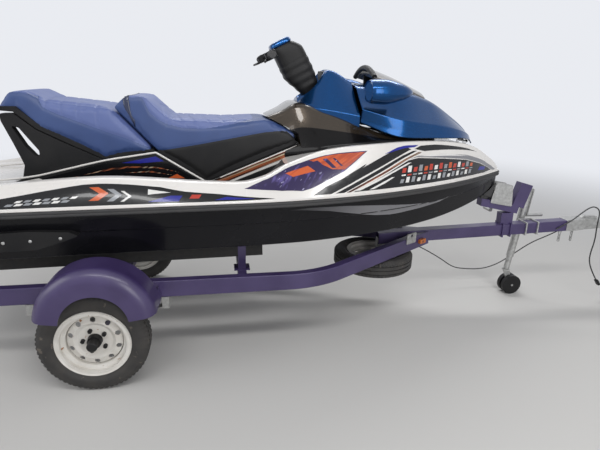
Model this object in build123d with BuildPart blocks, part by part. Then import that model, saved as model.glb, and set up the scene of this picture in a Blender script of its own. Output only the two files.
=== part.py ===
from build123d import *
import os
from math import cos, sin, tan, radians, degrees, sqrt, hypot

os.makedirs("parts", exist_ok=True)

# A three-seat personal watercraft parked on its single-axle trailer, in millimetres.
# X points to the bow and the trailer's coupler, Y to port, Z up, with the floor at Z = 0.

# Craft frame: the craft lies on its bunks with its bow a little up.
# Its own x and z start at the sheer line, where hull and deck meet.
CRAFT_PITCH = 1.4
SHEER_Z = 951
BOW_X = 1208
STERN_X = -2100
BEAM = 1220
TRANSOM_WIDTH = 1120
BEAM_START_X = -1750
BOW_ARC_X = -550
STERN_CORNER_R = 90
BOW_TIP_R = 45

# Hull bottom
KEEL_DEPTH = 385
CHINE_DEPTH = 256
CHINE_WIDTH = 1010
STRAKE_AT = 0.42
STRAKE_WIDTH = 0.06
STRAKE_STEP = 0.004
CHINE_FLAT_AT = 0.93

# Trailer
AXLE_X = -1300
TRACK = 1320
TYRE_R = 265
TYRE_WIDTH = 122
RAIL_Y = 505
RAIL_HEIGHT = 92
RAIL_WIDTH = 50
TUBE_WALL = 3.2
CLEARANCE = 5

craft = Plane(
    origin=(0, 0, SHEER_Z),
    x_dir=(cos(radians(CRAFT_PITCH)), 0, sin(radians(CRAFT_PITCH))),
    z_dir=(-sin(radians(CRAFT_PITCH)), 0, cos(radians(CRAFT_PITCH))),
)


def finish(piece, name):
    """Label a finished piece and write it."""
    piece.part.label = name
    export_step(piece.part, f"parts/{name}.step")


def place(x, y, z):
    """A point of the craft frame, as a point above the floor."""
    return craft.from_local_coords(Vector(x, y, z))


def station(x):
    """Cross-section plane of the craft at x: first axis to port, second up."""
    return Plane(origin=place(x, 0, 0), x_dir=(0, 1, 0), z_dir=craft.x_dir)


def side(y=0):
    """Side-view plane of the craft at y: first axis to the bow, second up."""
    return Plane(origin=place(0, y, 0), x_dir=craft.x_dir, z_dir=(0, -1, 0))


def level(z):
    """Plan-view plane of the craft at height z."""
    return craft.offset(z)


def mirrored_outline(half):
    """Close a half outline, given from the bottom up on port, with its starboard copy."""
    starboard = [(-y, z) for y, z in reversed(half) if y > 0]
    return half + starboard


def sections(rows, shape):
    """Closed sections at their stations; each row is x and then what shape takes."""
    cuts = []
    for x, *sizes in rows:
        with BuildSketch(station(x)) as cut:
            with BuildLine():
                Polyline(*mirrored_outline(shape(*sizes)), close=True)
            make_face()
        cuts.append(cut.sketch)
    return cuts


BOW_RADIUS = ((BOW_X - BOW_ARC_X) ** 2 + (BEAM / 2) ** 2) / BEAM


def sheer_outline(grow=0):
    """The craft seen from above at its widest line, grown outwards."""
    half = BEAM / 2 + grow
    stern = TRANSOM_WIDTH / 2 + grow
    stern_x = STERN_X - grow
    bow_x = BOW_ARC_X + sqrt((BOW_RADIUS + grow) ** 2 - (BOW_RADIUS - BEAM / 2) ** 2)
    with BuildSketch() as outline:
        with BuildLine():
            Polyline(
                (BOW_ARC_X, -half), (BEAM_START_X, -half), (stern_x, -stern),
                (stern_x, stern), (BEAM_START_X, half), (BOW_ARC_X, half),
            )
            TangentArc((BOW_ARC_X, half), (bow_x, 0), tangent=(1, 0))
            TangentArc((BOW_ARC_X, -half), (bow_x, 0), tangent=(1, 0))
        make_face()
        fillet(outline.vertices().sort_by(Axis.X)[:2], STERN_CORNER_R + grow)
        fillet(outline.vertices().sort_by(Axis.X)[-1], BOW_TIP_R + grow)
    return outline.sketch


def half_beam(x):
    """Half width of the sheer line at x: straight sides, then an arc to the bow."""
    run = max(0, x - BOW_ARC_X)
    return BEAM / 2 - BOW_RADIUS + sqrt(BOW_RADIUS**2 - run**2)


# Bumper band round the sheer, and the ledge that it sits in
BUMPER_HEIGHT = 30
BUMPER_OUT = 12
BUMPER_IN = 16

# Hull bottom ahead of its straight run: station, keel depth, chine half width, chine depth
BOW_STATIONS = [
    (-600, KEEL_DEPTH, CHINE_WIDTH / 2, CHINE_DEPTH),
    (-300, 385, 492, 256),
    (0, 384, 455, 252),
    (300, 379, 392, 243),
    (560, 351, 315, 224),
    (780, 300, 235, 192),
    (960, 238, 160, 150),
    (1090, 183, 95, 108),
    (1165, 112, 45, 66),
    (1200, 40, 12, 24),
]
SHEER_MARGIN = 6
JET_Z = -262
TUNNEL_WIDTH = 300
TUNNEL_TOP = -120
TUNNEL_FRONT_X = -1780
INTAKE_WIDTH = 170
INTAKE_FRONT_X = -1230
INTAKE_TOP = 80
INTAKE_RUN = 90
INTAKE_LIP = 25
ENGINE_LENGTH = 620
ENGINE_WIDTH = 330
ENGINE_HEIGHT = 250
ENGINE_X = -780
ENGINE_FLOOR = -300
SHAFT_R = 12
SHAFT_FRONT_X = -1476

jet = Plane(origin=place(0, 0, JET_Z), x_dir=(0, 1, 0), z_dir=craft.x_dir)
jet_side = Plane(origin=place(0, 0, JET_Z), x_dir=craft.x_dir, z_dir=(0, -1, 0))
jet_axis = Axis(origin=place(0, 0, JET_Z), direction=craft.x_dir)


def hull_section(x_half, depth, chine_half, chine_depth):
    """Half section of the hull: keel, one strake, chine flat and flared side."""
    def bottom(t):
        return (t * chine_half, -depth + t * (depth - chine_depth))
    strake_y, strake_z = bottom(STRAKE_AT)
    strake_end = STRAKE_AT + STRAKE_WIDTH
    chine_in = bottom(CHINE_FLAT_AT)
    return [
        (0, -depth),
        (strake_y, strake_z),
        (strake_end * chine_half, strake_z),
        bottom(strake_end + STRAKE_STEP),
        chine_in,
        (chine_half, chine_in[1]),
        (x_half + SHEER_MARGIN, 0),
    ]


with BuildPart() as hull:
    bow_rows = [(x, half_beam(x), *rest) for x, *rest in BOW_STATIONS]
    stern_row = (STERN_X, *bow_rows[0][1:])
    loft(sections([stern_row, bow_rows[0]], hull_section), ruled=True)
    loft(sections(bow_rows, hull_section))
    with BuildSketch(level(-KEEL_DEPTH - 50)):
        add(sheer_outline())
    extrude(amount=KEEL_DEPTH + 50, mode=Mode.INTERSECT)
    with BuildSketch(level(-BUMPER_HEIGHT)):
        add(sheer_outline(50))
        add(sheer_outline(-BUMPER_IN), mode=Mode.SUBTRACT)
    extrude(amount=BUMPER_HEIGHT, mode=Mode.SUBTRACT)
    # Jet tunnel, open at the transom and below
    with BuildSketch(Plane(origin=place(STERN_X - 1, 0, 0), x_dir=(0, 1, 0), z_dir=craft.x_dir)):
        with Locations((0, (TUNNEL_TOP - KEEL_DEPTH) / 2 - 25)):
            Rectangle(TUNNEL_WIDTH, TUNNEL_TOP + KEEL_DEPTH + 50)
    extrude(amount=TUNNEL_FRONT_X - STERN_X + 1, mode=Mode.SUBTRACT)
    # Water intake, from the bottom up to the pump
    with BuildSketch(side()):
        with BuildLine():
            Polyline(
                (TUNNEL_FRONT_X - 1, JET_Z + INTAKE_TOP), (TUNNEL_FRONT_X + INTAKE_RUN, JET_Z + INTAKE_TOP),
                (INTAKE_FRONT_X, -KEEL_DEPTH + INTAKE_LIP), (INTAKE_FRONT_X, -KEEL_DEPTH - INTAKE_LIP),
                (TUNNEL_FRONT_X - 1, -KEEL_DEPTH - INTAKE_LIP), close=True,
            )
        make_face()
    extrude(amount=INTAKE_WIDTH / 2, both=True, mode=Mode.SUBTRACT)
    # Bore that the impeller's shaft runs in
    with BuildSketch(jet.offset(TUNNEL_FRONT_X)):
        Circle(SHAFT_R + CLEARANCE)
    extrude(amount=SHAFT_FRONT_X + CLEARANCE - TUNNEL_FRONT_X, mode=Mode.SUBTRACT)
    # Engine bay under the front seat
    with BuildSketch(level(ENGINE_FLOOR)):
        with Locations((ENGINE_X, 0)):
            Rectangle(ENGINE_LENGTH + 2 * CLEARANCE, ENGINE_WIDTH + 2 * CLEARANCE)
    extrude(amount=-ENGINE_FLOOR + 1, mode=Mode.SUBTRACT)

finish(hull, "hull")

# Engine: one plain block on the engine bay's floor
with BuildPart() as engine:
    with BuildSketch(level(ENGINE_FLOOR)):
        with Locations((ENGINE_X, 0)):
            RectangleRounded(ENGINE_LENGTH, ENGINE_WIDTH, 30)
    extrude(amount=ENGINE_HEIGHT)

finish(engine, "engine")

with BuildPart() as bumper:
    with BuildSketch(level(-BUMPER_HEIGHT)):
        add(sheer_outline(BUMPER_OUT))
        add(sheer_outline(-BUMPER_IN), mode=Mode.SUBTRACT)
    extrude(amount=BUMPER_HEIGHT)
    fillet(bumper.faces().sort_by(Axis.Z)[0].outer_wire().edges(), BUMPER_OUT * 0.7)

finish(bumper, "bumper")

# Deck: flange, gunwales with footwells between them, stern platform, pedestal and foredeck
FLANGE_THICKNESS = 8
FLANGE_OUT = 5
# Gunwale crest: station, crest height, half width at the crest
GUNWALE_STATIONS = [
    (-2085, 66, 470),
    (-1650, 108, 505),
    (-1230, 132, 515),
    (-760, 88, 520),
    (-440, 30, 530),
]
GUNWALE_CREST = 42
GUNWALE_FOOT = 30
PLATFORM_END_X = -1740
PLATFORM_HEIGHT = 58
PLATFORM_WIDTH = 920
PLATFORM_INSET = 15
PLATFORM_CORNER = 40
PEDESTAL_WIDTH = 500
# Underside of the seat base and the two seats in side view; the pedestal's top stands a little under it
BASE_BACK = (-1684, 82)
BASE_MIDDLE = (-1601, 92)
BASE_FRONT = (-1272, 166)
REAR_SEAT_BACK = (-1268, 168)
SEAT_MEET = (-1003, 201)
SEAT_NOTCH = (-745, 32)
SEAT_NOSE = (-228, 236)
PEDESTAL_GAP = 2
PEDESTAL = [
    (-1700, 4),
    (BASE_BACK[0], BASE_BACK[1] - 2 * PEDESTAL_GAP),
    (BASE_MIDDLE[0], BASE_MIDDLE[1] - PEDESTAL_GAP),
    (REAR_SEAT_BACK[0] + 3, REAR_SEAT_BACK[1] - PEDESTAL_GAP),
    (SEAT_MEET[0], SEAT_MEET[1] - PEDESTAL_GAP),
    (SEAT_NOTCH[0], SEAT_NOTCH[1] - 2 * PEDESTAL_GAP),
    (SEAT_NOSE[0], SEAT_NOSE[1] - 2 * PEDESTAL_GAP),
    (SEAT_NOSE[0], 4),
]
# Foredeck: station, shoulder half width, shoulder height
FOREDECK_STATIONS = [
    (-470, 480, 30),
    (-312, 420, 168),
    (-100, 425, 228),
    (120, 412, 248),
    (336, 375, 254),
    (571, 292, 244),
    (800, 190, 214),
    (932, 122, 176),
    (1060, 50, 96),
    (1160, 10, 30),
]
FOREDECK_INSET = 9
BIN_FRONT_X = 640
BIN_BACK_X = 190
BIN_WIDTH = 340
BIN_FLOOR = 24
BIN_TOP = 258
BIN_WALL = 4
BIN_CORNER = 40
# Hood hinge under the hood's nose, in a pocket of the foredeck
HINGE_X = 905
HINGE_Z = 204
HINGE_R = 7
HINGE_BARREL_R = 11
HINGE_HALF = 35
HINGE_LUG = 6
POCKET_FLOOR = 166
POCKET = [(868, 125), (905, 106), (938, 72)]


def gunwale_beam(x):
    """Half width of the sheer line, narrowed to the transom behind the straight run."""
    return half_beam(x) if x > BEAM_START_X else TRANSOM_WIDTH / 2


def gunwale_section(sign, x_half, crest, crest_half):
    """Closed section of one gunwale, its outside leaning in to the crest."""
    inner = crest_half - GUNWALE_CREST
    port = [
        (x_half - 1, FLANGE_THICKNESS / 2),
        (x_half - 4, FLANGE_THICKNESS + 4),
        (crest_half + 6, crest - 8),
        (crest_half - 4, crest),
        (inner + 4, crest),
        (inner - 4, crest - 8),
        (inner - GUNWALE_FOOT, FLANGE_THICKNESS / 2),
    ]
    return port if sign > 0 else [(-y, z) for y, z in reversed(port)]


def foredeck_section(outer, shoulder, height):
    """Half section of the foredeck: side panel, rounded shoulder and top."""
    return [
        (0, 1),
        (outer, 1),
        (outer - 6, 12),
        (shoulder + 8, height - 10),
        (shoulder - 10, height),
    ]


def closed_sections(rows, shape):
    """Closed sections of a body that stands to one side of the middle."""
    cuts = []
    for x, *sizes in rows:
        with BuildSketch(station(x)) as cut:
            with BuildLine():
                Polyline(*shape(*sizes), close=True)
            make_face()
        cuts.append(cut.sketch)
    return cuts


with BuildPart() as deck:
    with BuildSketch(level(0)):
        add(sheer_outline(FLANGE_OUT))
    extrude(amount=FLANGE_THICKNESS)
    # Stern platform between the gunwales
    with BuildSketch(level(FLANGE_THICKNESS / 2)):
        with Locations(((STERN_X + PLATFORM_INSET + PLATFORM_END_X) / 2, 0)):
            RectangleRounded(PLATFORM_END_X - STERN_X - PLATFORM_INSET, PLATFORM_WIDTH, PLATFORM_CORNER)
    extrude(amount=PLATFORM_HEIGHT - FLANGE_THICKNESS / 2)
    with BuildSketch(side()):
        with BuildLine():
            Polyline(*PEDESTAL, close=True)
        make_face()
    extrude(amount=PEDESTAL_WIDTH / 2, both=True)
    foredeck_rows = [(x, half_beam(x) - FOREDECK_INSET, *rest) for x, *rest in FOREDECK_STATIONS]
    loft(sections(foredeck_rows, foredeck_section), ruled=True)
    for sign in (1, -1):
        gunwale_rows = [(x, sign, gunwale_beam(x), *rest) for x, *rest in GUNWALE_STATIONS]
        loft(closed_sections(gunwale_rows, gunwale_section), ruled=True)
    with BuildSketch(level(0)):
        add(sheer_outline(FLANGE_OUT))
    extrude(amount=BEAM, mode=Mode.INTERSECT)
    # Well of the storage bin
    with BuildSketch(level(BIN_FLOOR)):
        with Locations(((BIN_BACK_X + BIN_FRONT_X) / 2, 0)):
            RectangleRounded(BIN_FRONT_X - BIN_BACK_X, BIN_WIDTH, BIN_CORNER)
    extrude(amount=400, mode=Mode.SUBTRACT)
    with BuildSketch(level(POCKET_FLOOR)):
        with BuildLine():
            Polyline(*POCKET, *[(x, -y) for x, y in reversed(POCKET)], close=True)
        make_face()
    extrude(amount=400, mode=Mode.SUBTRACT)

finish(deck, "deck")

with BuildPart() as hood_hinge:
    for sign in (-1, 1):
        with BuildSketch(side(sign * (HINGE_HALF + CLEARANCE + HINGE_LUG / 2))):
            with Locations((HINGE_X - HINGE_BARREL_R, (POCKET_FLOOR + HINGE_Z) / 2)):
                Rectangle(2 * HINGE_BARREL_R - 2, HINGE_Z - POCKET_FLOOR)
            with Locations((HINGE_X, HINGE_Z)):
                Circle(HINGE_BARREL_R)
        extrude(amount=HINGE_LUG / 2, both=True)
    with BuildSketch(side()):
        with Locations((HINGE_X, HINGE_Z)):
            Circle(HINGE_R)
    extrude(amount=HINGE_HALF + CLEARANCE + HINGE_LUG / 2, both=True)

finish(hood_hinge, "hood_hinge")

# Seats, side view in the craft frame
SEAT_GAP = 4
SEAT_WIDTH = 470
PIN_FIT = 0.05
FACE_GAP = 0.3
# Point and corner radius
FRONT_SEAT = [
    ((SEAT_MEET[0] + SEAT_GAP, SEAT_MEET[1]), 6),
    ((-1216 + SEAT_GAP, 436), 14),
    ((-1140, 500), 40),
    ((-1045, 498), 50),
    ((-920, 380), 90),
    ((-640, 366), 200),
    ((-400, 374), 60),
    ((-238, 292), 20),
    (SEAT_NOSE, 6),
    (SEAT_NOTCH, 6),
]
REAR_SEAT = [
    (SEAT_MEET, 6),
    ((-1216, 436), 14),
    ((-1262, 446), 30),
    ((-1528, 478), 60),
    ((-1622, 526), 40),
    ((-1700, 520), 30),
    ((-1768, 424), 14),
    ((-1676, 418), 20),
    ((-1580, 332), 60),
    ((-1431, 251), 60),
    (REAR_SEAT_BACK, 5),
]
# Black seat base with its two grab handles
SEAT_BASE = [
    (BASE_FRONT, 4),
    ((-1433, 247), 60),
    ((-1582, 327), 60),
    ((-1678, 412), 20),
    ((-1742, 412), 14),
    ((-1738, 372), 14),
    ((-1700, 262), 30),
    ((-1665, 150), 20),
    (BASE_BACK, 4),
    (BASE_MIDDLE, 4),
]
GRAB_WINDOW = [
    ((-1697, 352), 8),
    ((-1662, 340), 8),
    ((-1578, 212), 12),
    ((-1600, 186), 12),
    ((-1648, 250), 20),
]
SEAT_BASE_WIDTH = 456
GRAB_HANDLE_WIDTH = 44
GRAB_CROSS_X = -1600
GRAB_FLOOR = 60
GRAB_CUT = 400


def rounded_profile(corners):
    """Closed side-view face whose corners each have their own radius."""
    points = [point for point, _ in corners]
    radii = [radius for _, radius in corners]
    with BuildSketch() as profile:
        with BuildLine():
            FilletPolyline(*points, radius=radii, close=True)
        make_face()
    return profile.sketch


with BuildPart() as seat_front:
    with BuildSketch(side()):
        add(rounded_profile(FRONT_SEAT))
    extrude(amount=SEAT_WIDTH / 2, both=True)

finish(seat_front, "seat_front")

with BuildPart() as seat_rear:
    with BuildSketch(side()):
        add(rounded_profile(REAR_SEAT))
    extrude(amount=SEAT_WIDTH / 2, both=True)

finish(seat_rear, "seat_rear")

with BuildPart() as seat_base:
    with BuildSketch(side()):
        add(rounded_profile(SEAT_BASE))
        add(rounded_profile(GRAB_WINDOW), mode=Mode.SUBTRACT)
    extrude(amount=SEAT_BASE_WIDTH / 2, both=True)
    with BuildSketch(level(GRAB_FLOOR)):
        with Locations((GRAB_CROSS_X - GRAB_CUT / 2, 0)):
            Rectangle(GRAB_CUT, SEAT_BASE_WIDTH - 2 * GRAB_HANDLE_WIDTH)
    extrude(amount=GRAB_CUT, mode=Mode.SUBTRACT)

finish(seat_base, "seat_base")

# Cowl between seat, foredeck and hood: station, foot half width, foot height,
# shoulder half width, shoulder height
COWL_STATIONS = [
    (-400, 215, 120, 150, 372),
    (-312, 250, 180, 175, 408),
    (-219, 320, 206, 200, 452),
    (-100, 398, 236, 236, 416),
    (16, 398, 246, 280, 376),
    (336, 350, 259, 330, 267),
    (571, 268, 248, 258, 252),
]


def cowl_section(foot, foot_z, shoulder, shoulder_z):
    """Half section of the cowl, hollow-sided between foot and shoulder."""
    hollow = (foot * 0.42 + shoulder * 0.58, foot_z * 0.45 + shoulder_z * 0.55)
    return [(0, 2), (foot, 2), (foot, foot_z), hollow, (shoulder, shoulder_z)]


with BuildPart() as cowl:
    loft(sections(COWL_STATIONS, cowl_section), ruled=True)
    add(deck.part, mode=Mode.SUBTRACT)
    with BuildSketch(side()):
        add(rounded_profile(FRONT_SEAT))
        offset(amount=SEAT_GAP)
        with BuildLine():
            Polyline((-745, 0), (-228, 240), (-240, 300), (-420, 380), (-745, 380), close=True)
        make_face()
    extrude(amount=BEAM / 2, both=True, mode=Mode.SUBTRACT)
    with BuildSketch(level(0)):
        with Locations(((BIN_BACK_X + BIN_FRONT_X) / 2, 0)):
            RectangleRounded(BIN_FRONT_X - BIN_BACK_X, BIN_WIDTH, BIN_CORNER)
    extrude(amount=600, mode=Mode.SUBTRACT)

finish(cowl, "cowl")

with BuildPart() as storage_bin:
    with BuildSketch(level(BIN_FLOOR)):
        with Locations(((BIN_BACK_X + BIN_FRONT_X) / 2, 0)):
            RectangleRounded(BIN_FRONT_X - BIN_BACK_X, BIN_WIDTH, BIN_CORNER)
    extrude(amount=BIN_TOP - BIN_FLOOR)
    with BuildSketch(level(BIN_FLOOR + BIN_WALL)):
        with Locations(((BIN_BACK_X + BIN_FRONT_X) / 2, 0)):
            RectangleRounded(
                BIN_FRONT_X - BIN_BACK_X - 2 * BIN_WALL, BIN_WIDTH - 2 * BIN_WALL, BIN_CORNER - BIN_WALL
            )
    extrude(amount=BIN_TOP, mode=Mode.SUBTRACT)

finish(storage_bin, "storage_bin")

# Console in front of the handlebar: station, foot half width and height,
# waist half width and height, crest half width and height
CONSOLE_STATIONS = [
    (-205, 130, 300, 128, 456, 60, 470),
    (-100, 232, 300, 222, 430, 105, 560),
    (-27, 262, 300, 250, 420, 100, 630),
    (104, 300, 300, 298, 395, 110, 570),
]
STEER_BASE = (-113, 508)
STEER_RAKE = 29
BOOT_R = 86


def console_section(foot, foot_z, waist, waist_z, crest, crest_z):
    """Half section of the console: straight foot, waist and narrow crest."""
    return [(0, foot_z), (foot, foot_z), (waist, waist_z), (crest, crest_z)]


steer_base = place(STEER_BASE[0], 0, STEER_BASE[1])
steer_tilt = radians(STEER_RAKE - CRAFT_PITCH)
steering = Plane(
    origin=steer_base,
    x_dir=(cos(steer_tilt), 0, sin(steer_tilt)),
    z_dir=(-sin(steer_tilt), 0, cos(steer_tilt)),
)

COLUMN_R = 20
COLUMN_DEPTH = 60

with BuildPart() as console:
    loft(sections(CONSOLE_STATIONS, console_section), ruled=True)
    add(cowl.part, mode=Mode.SUBTRACT)
    # Bearing that the steering column turns in
    with BuildSketch(steering.offset(-COLUMN_DEPTH - CLEARANCE)):
        Circle(COLUMN_R + PIN_FIT)
    extrude(amount=2 * COLUMN_DEPTH, mode=Mode.SUBTRACT)
    # Recess round the steering column's boot
    with BuildSketch(steering.offset(-12)):
        Circle(BOOT_R)
    with BuildSketch(steering.offset(150)):
        Circle(BOOT_R + 72)
    loft(mode=Mode.SUBTRACT)

finish(console, "console")

# Gauge cluster on the console's front slope, facing the rider: place, width, height and corner
GAUGE_AT = (-40, 600)
GAUGE_FACE = (120, 50, 20)
GAUGE_DEPTH = 20
with BuildPart() as gauges:
    with BuildSketch(Plane(origin=place(GAUGE_AT[0], 0, GAUGE_AT[1]), x_dir=(0, 1, 0), z_dir=-craft.x_dir)):
        RectangleRounded(*GAUGE_FACE)
    extrude(amount=GAUGE_DEPTH)
    add(console.part, mode=Mode.SUBTRACT)

finish(gauges, "gauges")

# Hood over the storage bin, hinged at its nose: station, edge half width and height,
# waist half width and height, brow half width and height, top height
HOOD_STATIONS = [
    (112, 306, 352, 330, 430, 190, 540, 562),
    (336, 352, 275, 345, 372, 205, 520, 548),
    (573, 290, 258, 272, 335, 150, 458, 488),
    (765, 215, 246, 190, 292, 100, 350, 368),
    (872, 135, 226, 115, 256, 60, 276, 287),
    (932, 66, 192, 52, 205, 30, 214, 216),
]
HOOD_WALL = 8
HINGE_WEB = 34


def hood_section(edge, edge_z, waist, waist_z, brow, brow_z, top_z):
    """Half section of the hood's outside."""
    return [(0, edge_z), (edge, edge_z), (waist, waist_z), (brow, brow_z), (0, top_z)]


def hood_inner_section(edge, edge_z, waist, waist_z, brow, brow_z, top_z):
    """Half section of the hood's inside, open below."""
    wall = HOOD_WALL
    return [
        (0, edge_z - 4 * wall),
        (edge - wall, edge_z - 4 * wall),
        (edge - wall, edge_z),
        (waist - wall, waist_z - wall / 2),
        (brow - wall, brow_z - wall),
        (0, top_z - wall),
    ]


with BuildPart() as hood:
    loft(sections(HOOD_STATIONS, hood_section), ruled=True)
    hood_inner_rows = [(x, *sizes) for x, *sizes in HOOD_STATIONS]
    first, last = hood_inner_rows[0], hood_inner_rows[-1]
    hood_inner_rows[0] = (first[0] + HOOD_WALL, *first[1:])
    hood_inner_rows[-1] = (last[0] - HOOD_WALL, *last[1:])
    loft(sections(hood_inner_rows, hood_inner_section), ruled=True, mode=Mode.SUBTRACT)
    # Hinge barrel hung under the nose
    with BuildSketch(side()):
        with Locations((HINGE_X, HINGE_Z)):
            Circle(HINGE_BARREL_R)
        with Locations((HINGE_X, HINGE_Z + HINGE_WEB / 2)):
            Rectangle(HINGE_BARREL_R, HINGE_WEB)
        with Locations((HINGE_X, HINGE_Z)):
            Circle(HINGE_R + PIN_FIT, mode=Mode.SUBTRACT)
    extrude(amount=HINGE_HALF, both=True)

finish(hood, "hood")

# Wind deflector with a rolled rear edge
VISOR_BACK = (214, 190, 652, 598)
VISOR_FRONT = (560, 120, 512, 476)
VISOR_THICKNESS = 9
VISOR_ROLL_R = 15
VISOR_WEB = (240, 420)
VISOR_WEB_Y = 90
VISOR_WEB_THICKNESS = 12


def visor_middle(x):
    """Height of the middle of the deflector's sheet over its webs, at x."""
    share = (x - VISOR_BACK[0]) / (VISOR_FRONT[0] - VISOR_BACK[0])
    half, top, edge = [a + (b - a) * share for a, b in zip(VISOR_BACK[1:], VISOR_FRONT[1:])]
    return top - (top - edge) * (VISOR_WEB_Y / half) ** 2 - VISOR_THICKNESS / 2


def hood_skin(x):
    """Height of the middle of the hood's wall under the webs, at x."""
    for (back, *a), (front, *b) in zip(HOOD_STATIONS, HOOD_STATIONS[1:]):
        if back <= x <= front:
            share = (x - back) / (front - back)
            brow, brow_z, top = [p + (q - p) * share for p, q in zip(a[-3:], b[-3:])]
    return top + (brow_z - top) * VISOR_WEB_Y / brow - HOOD_WALL / 2


def visor_section(x, half_width, top_z, edge_z):
    """Arched section of the wind deflector."""
    with BuildSketch(station(x)) as cut:
        with BuildLine():
            ThreePointArc((-half_width, edge_z), (0, top_z), (half_width, edge_z))
            Line((half_width, edge_z), (half_width, edge_z - VISOR_THICKNESS))
            ThreePointArc(
                (half_width, edge_z - VISOR_THICKNESS),
                (0, top_z - VISOR_THICKNESS),
                (-half_width, edge_z - VISOR_THICKNESS),
            )
            Line((-half_width, edge_z - VISOR_THICKNESS), (-half_width, edge_z))
        make_face()
    return cut.sketch


with BuildPart() as visor:
    loft([visor_section(*VISOR_BACK), visor_section(*VISOR_FRONT)])
    with BuildLine(station(VISOR_BACK[0])) as roll_path:
        drop = VISOR_THICKNESS / 2
        ThreePointArc(
            (-VISOR_BACK[1], VISOR_BACK[3] - drop),
            (0, VISOR_BACK[2] - drop),
            (VISOR_BACK[1], VISOR_BACK[3] - drop),
        )
    with BuildSketch(Plane(origin=roll_path.line @ 0, z_dir=roll_path.line % 0)):
        Circle(VISOR_ROLL_R)
    sweep()
    # Webs that carry the deflector on the hood
    for sign in (-1, 1):
        with BuildSketch(side(sign * VISOR_WEB_Y)):
            with BuildLine():
                feet = [(x, hood_skin(x)) for x in (VISOR_WEB[0], HOOD_STATIONS[1][0], VISOR_WEB[1])]
                tops = [(x, visor_middle(x)) for x in reversed(VISOR_WEB)]
                Polyline(*feet, *tops, close=True)
            make_face()
        extrude(amount=VISOR_WEB_THICKNESS / 2, both=True)
    add(hood.part, mode=Mode.SUBTRACT)

finish(visor, "visor")

# Mirror pods on the hood's flanks: station, centre y, centre z, half width, half height
MIRROR_STATIONS = [
    (118, 400, 522, 74, 56),
    (200, 398, 520, 76, 64),
    (300, 388, 518, 52, 44),
    (374, 372, 516, 12, 10),
]
MIRROR_GLASS = (62, 46, 4)

with BuildPart() as mirror_pods:
    for x, y, z, half_width, half_height in MIRROR_STATIONS:
        with BuildSketch(station(x)):
            with Locations((y, z)):
                Ellipse(half_width, half_height)
    loft()
    mirror(about=Plane.XZ)
    add(hood.part, mode=Mode.SUBTRACT)

finish(mirror_pods, "mirror_pods")

with BuildPart() as mirror_glass:
    with BuildSketch(station(MIRROR_STATIONS[0][0])):
        with Locations(
            (MIRROR_STATIONS[0][1], MIRROR_STATIONS[0][2]),
            (-MIRROR_STATIONS[0][1], MIRROR_STATIONS[0][2]),
        ):
            Ellipse(MIRROR_GLASS[0], MIRROR_GLASS[1])
    extrude(amount=-MIRROR_GLASS[2])

finish(mirror_glass, "mirror_glass")

# Steering column cover: height along the column, centre, depth, width
NECK_STATIONS = [
    (0, 0, 104, 104),
    (140, -22, 176, 150),
    (250, -26, 170, 160),
    (318, -52, 124, 136),
]
NECK_CORNER_R = 24
BAR_R = 12.5
BAR_HEIGHT = 290
BAR_POINTS = [(-110, 60), (-116, 140), (-150, 250), (-158, 382)]
GRIP_R = 18
GRIP_LENGTH = 128
LEVER_HEIGHT = 272
# Place ahead of the column and out from it, and size
SWITCH = ((-148, 228), (62, 38, 8))
LEVER = ((-196, 300), (150, 16))
LEVER_ANGLE = 8
LEVER_ROOT = ((-176, 236), (30, 20, 6))

with BuildPart() as steering_neck:
    for height, centre, depth, width in NECK_STATIONS:
        with BuildSketch(steering.offset(height)):
            with Locations((centre, 0)):
                RectangleRounded(depth, width, NECK_CORNER_R)
    loft(ruled=True)
    with BuildSketch(steering.offset(-COLUMN_DEPTH)):
        Circle(COLUMN_R)
    extrude(amount=COLUMN_DEPTH)

finish(steering_neck, "steering_neck")


def bar_path(sign):
    """Half of the handlebar, from the column cover out to the grip's end."""
    points = [(x, sign * y) for x, y in BAR_POINTS]
    with BuildLine(steering.offset(BAR_HEIGHT)) as path:
        FilletPolyline(*points, radius=40)
    return path.line


with BuildPart() as handlebar:
    for sign in (-1, 1):
        half_bar = bar_path(sign)
        with BuildSketch(Plane(origin=half_bar @ 0, z_dir=half_bar % 0)):
            Circle(BAR_R)
        sweep(path=half_bar)
    # Switch housings and finger levers
    with BuildSketch(steering.offset(LEVER_HEIGHT - 10)):
        for sign in (-1, 1):
            for (ahead, out), size in (SWITCH, LEVER_ROOT):
                with Locations((ahead, sign * out)):
                    RectangleRounded(*size)
            with Locations(Location((LEVER[0][0], sign * LEVER[0][1]), sign * LEVER_ANGLE)):
                SlotOverall(*LEVER[1])
    extrude(amount=24)
    add(steering_neck.part, mode=Mode.SUBTRACT)

finish(handlebar, "handlebar")

with BuildPart() as grips:
    for sign in (-1, 1):
        half_bar = bar_path(sign)
        end = half_bar @ 1
        inward = half_bar % 1 * -1
        with BuildSketch(Plane(origin=end - inward * 6, z_dir=inward)):
            Circle(GRIP_R)
        extrude(amount=GRIP_LENGTH)
    add(handlebar.part, mode=Mode.SUBTRACT)

finish(grips, "grips")

# Sponsons on the hull's flanks near the stern
SPONSON = [
    ((-2060, -112), 8), ((-1560, -96), 30), ((-1380, -108), 20), ((-1338, -128), 6),
    ((-1400, -150), 20), ((-1530, -188), 30), ((-2060, -196), 8),
]

with BuildPart() as sponsons:
    with BuildSketch(side()):
        add(rounded_profile(SPONSON))
    extrude(amount=BEAM / 2 - 6, both=True)
    with BuildSketch(side()):
        Rectangle(2 * BEAM * 4, 2 * BEAM)
    extrude(amount=CHINE_WIDTH / 2, both=True, mode=Mode.SUBTRACT)
    add(hull.part, mode=Mode.SUBTRACT)

finish(sponsons, "sponsons")

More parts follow.
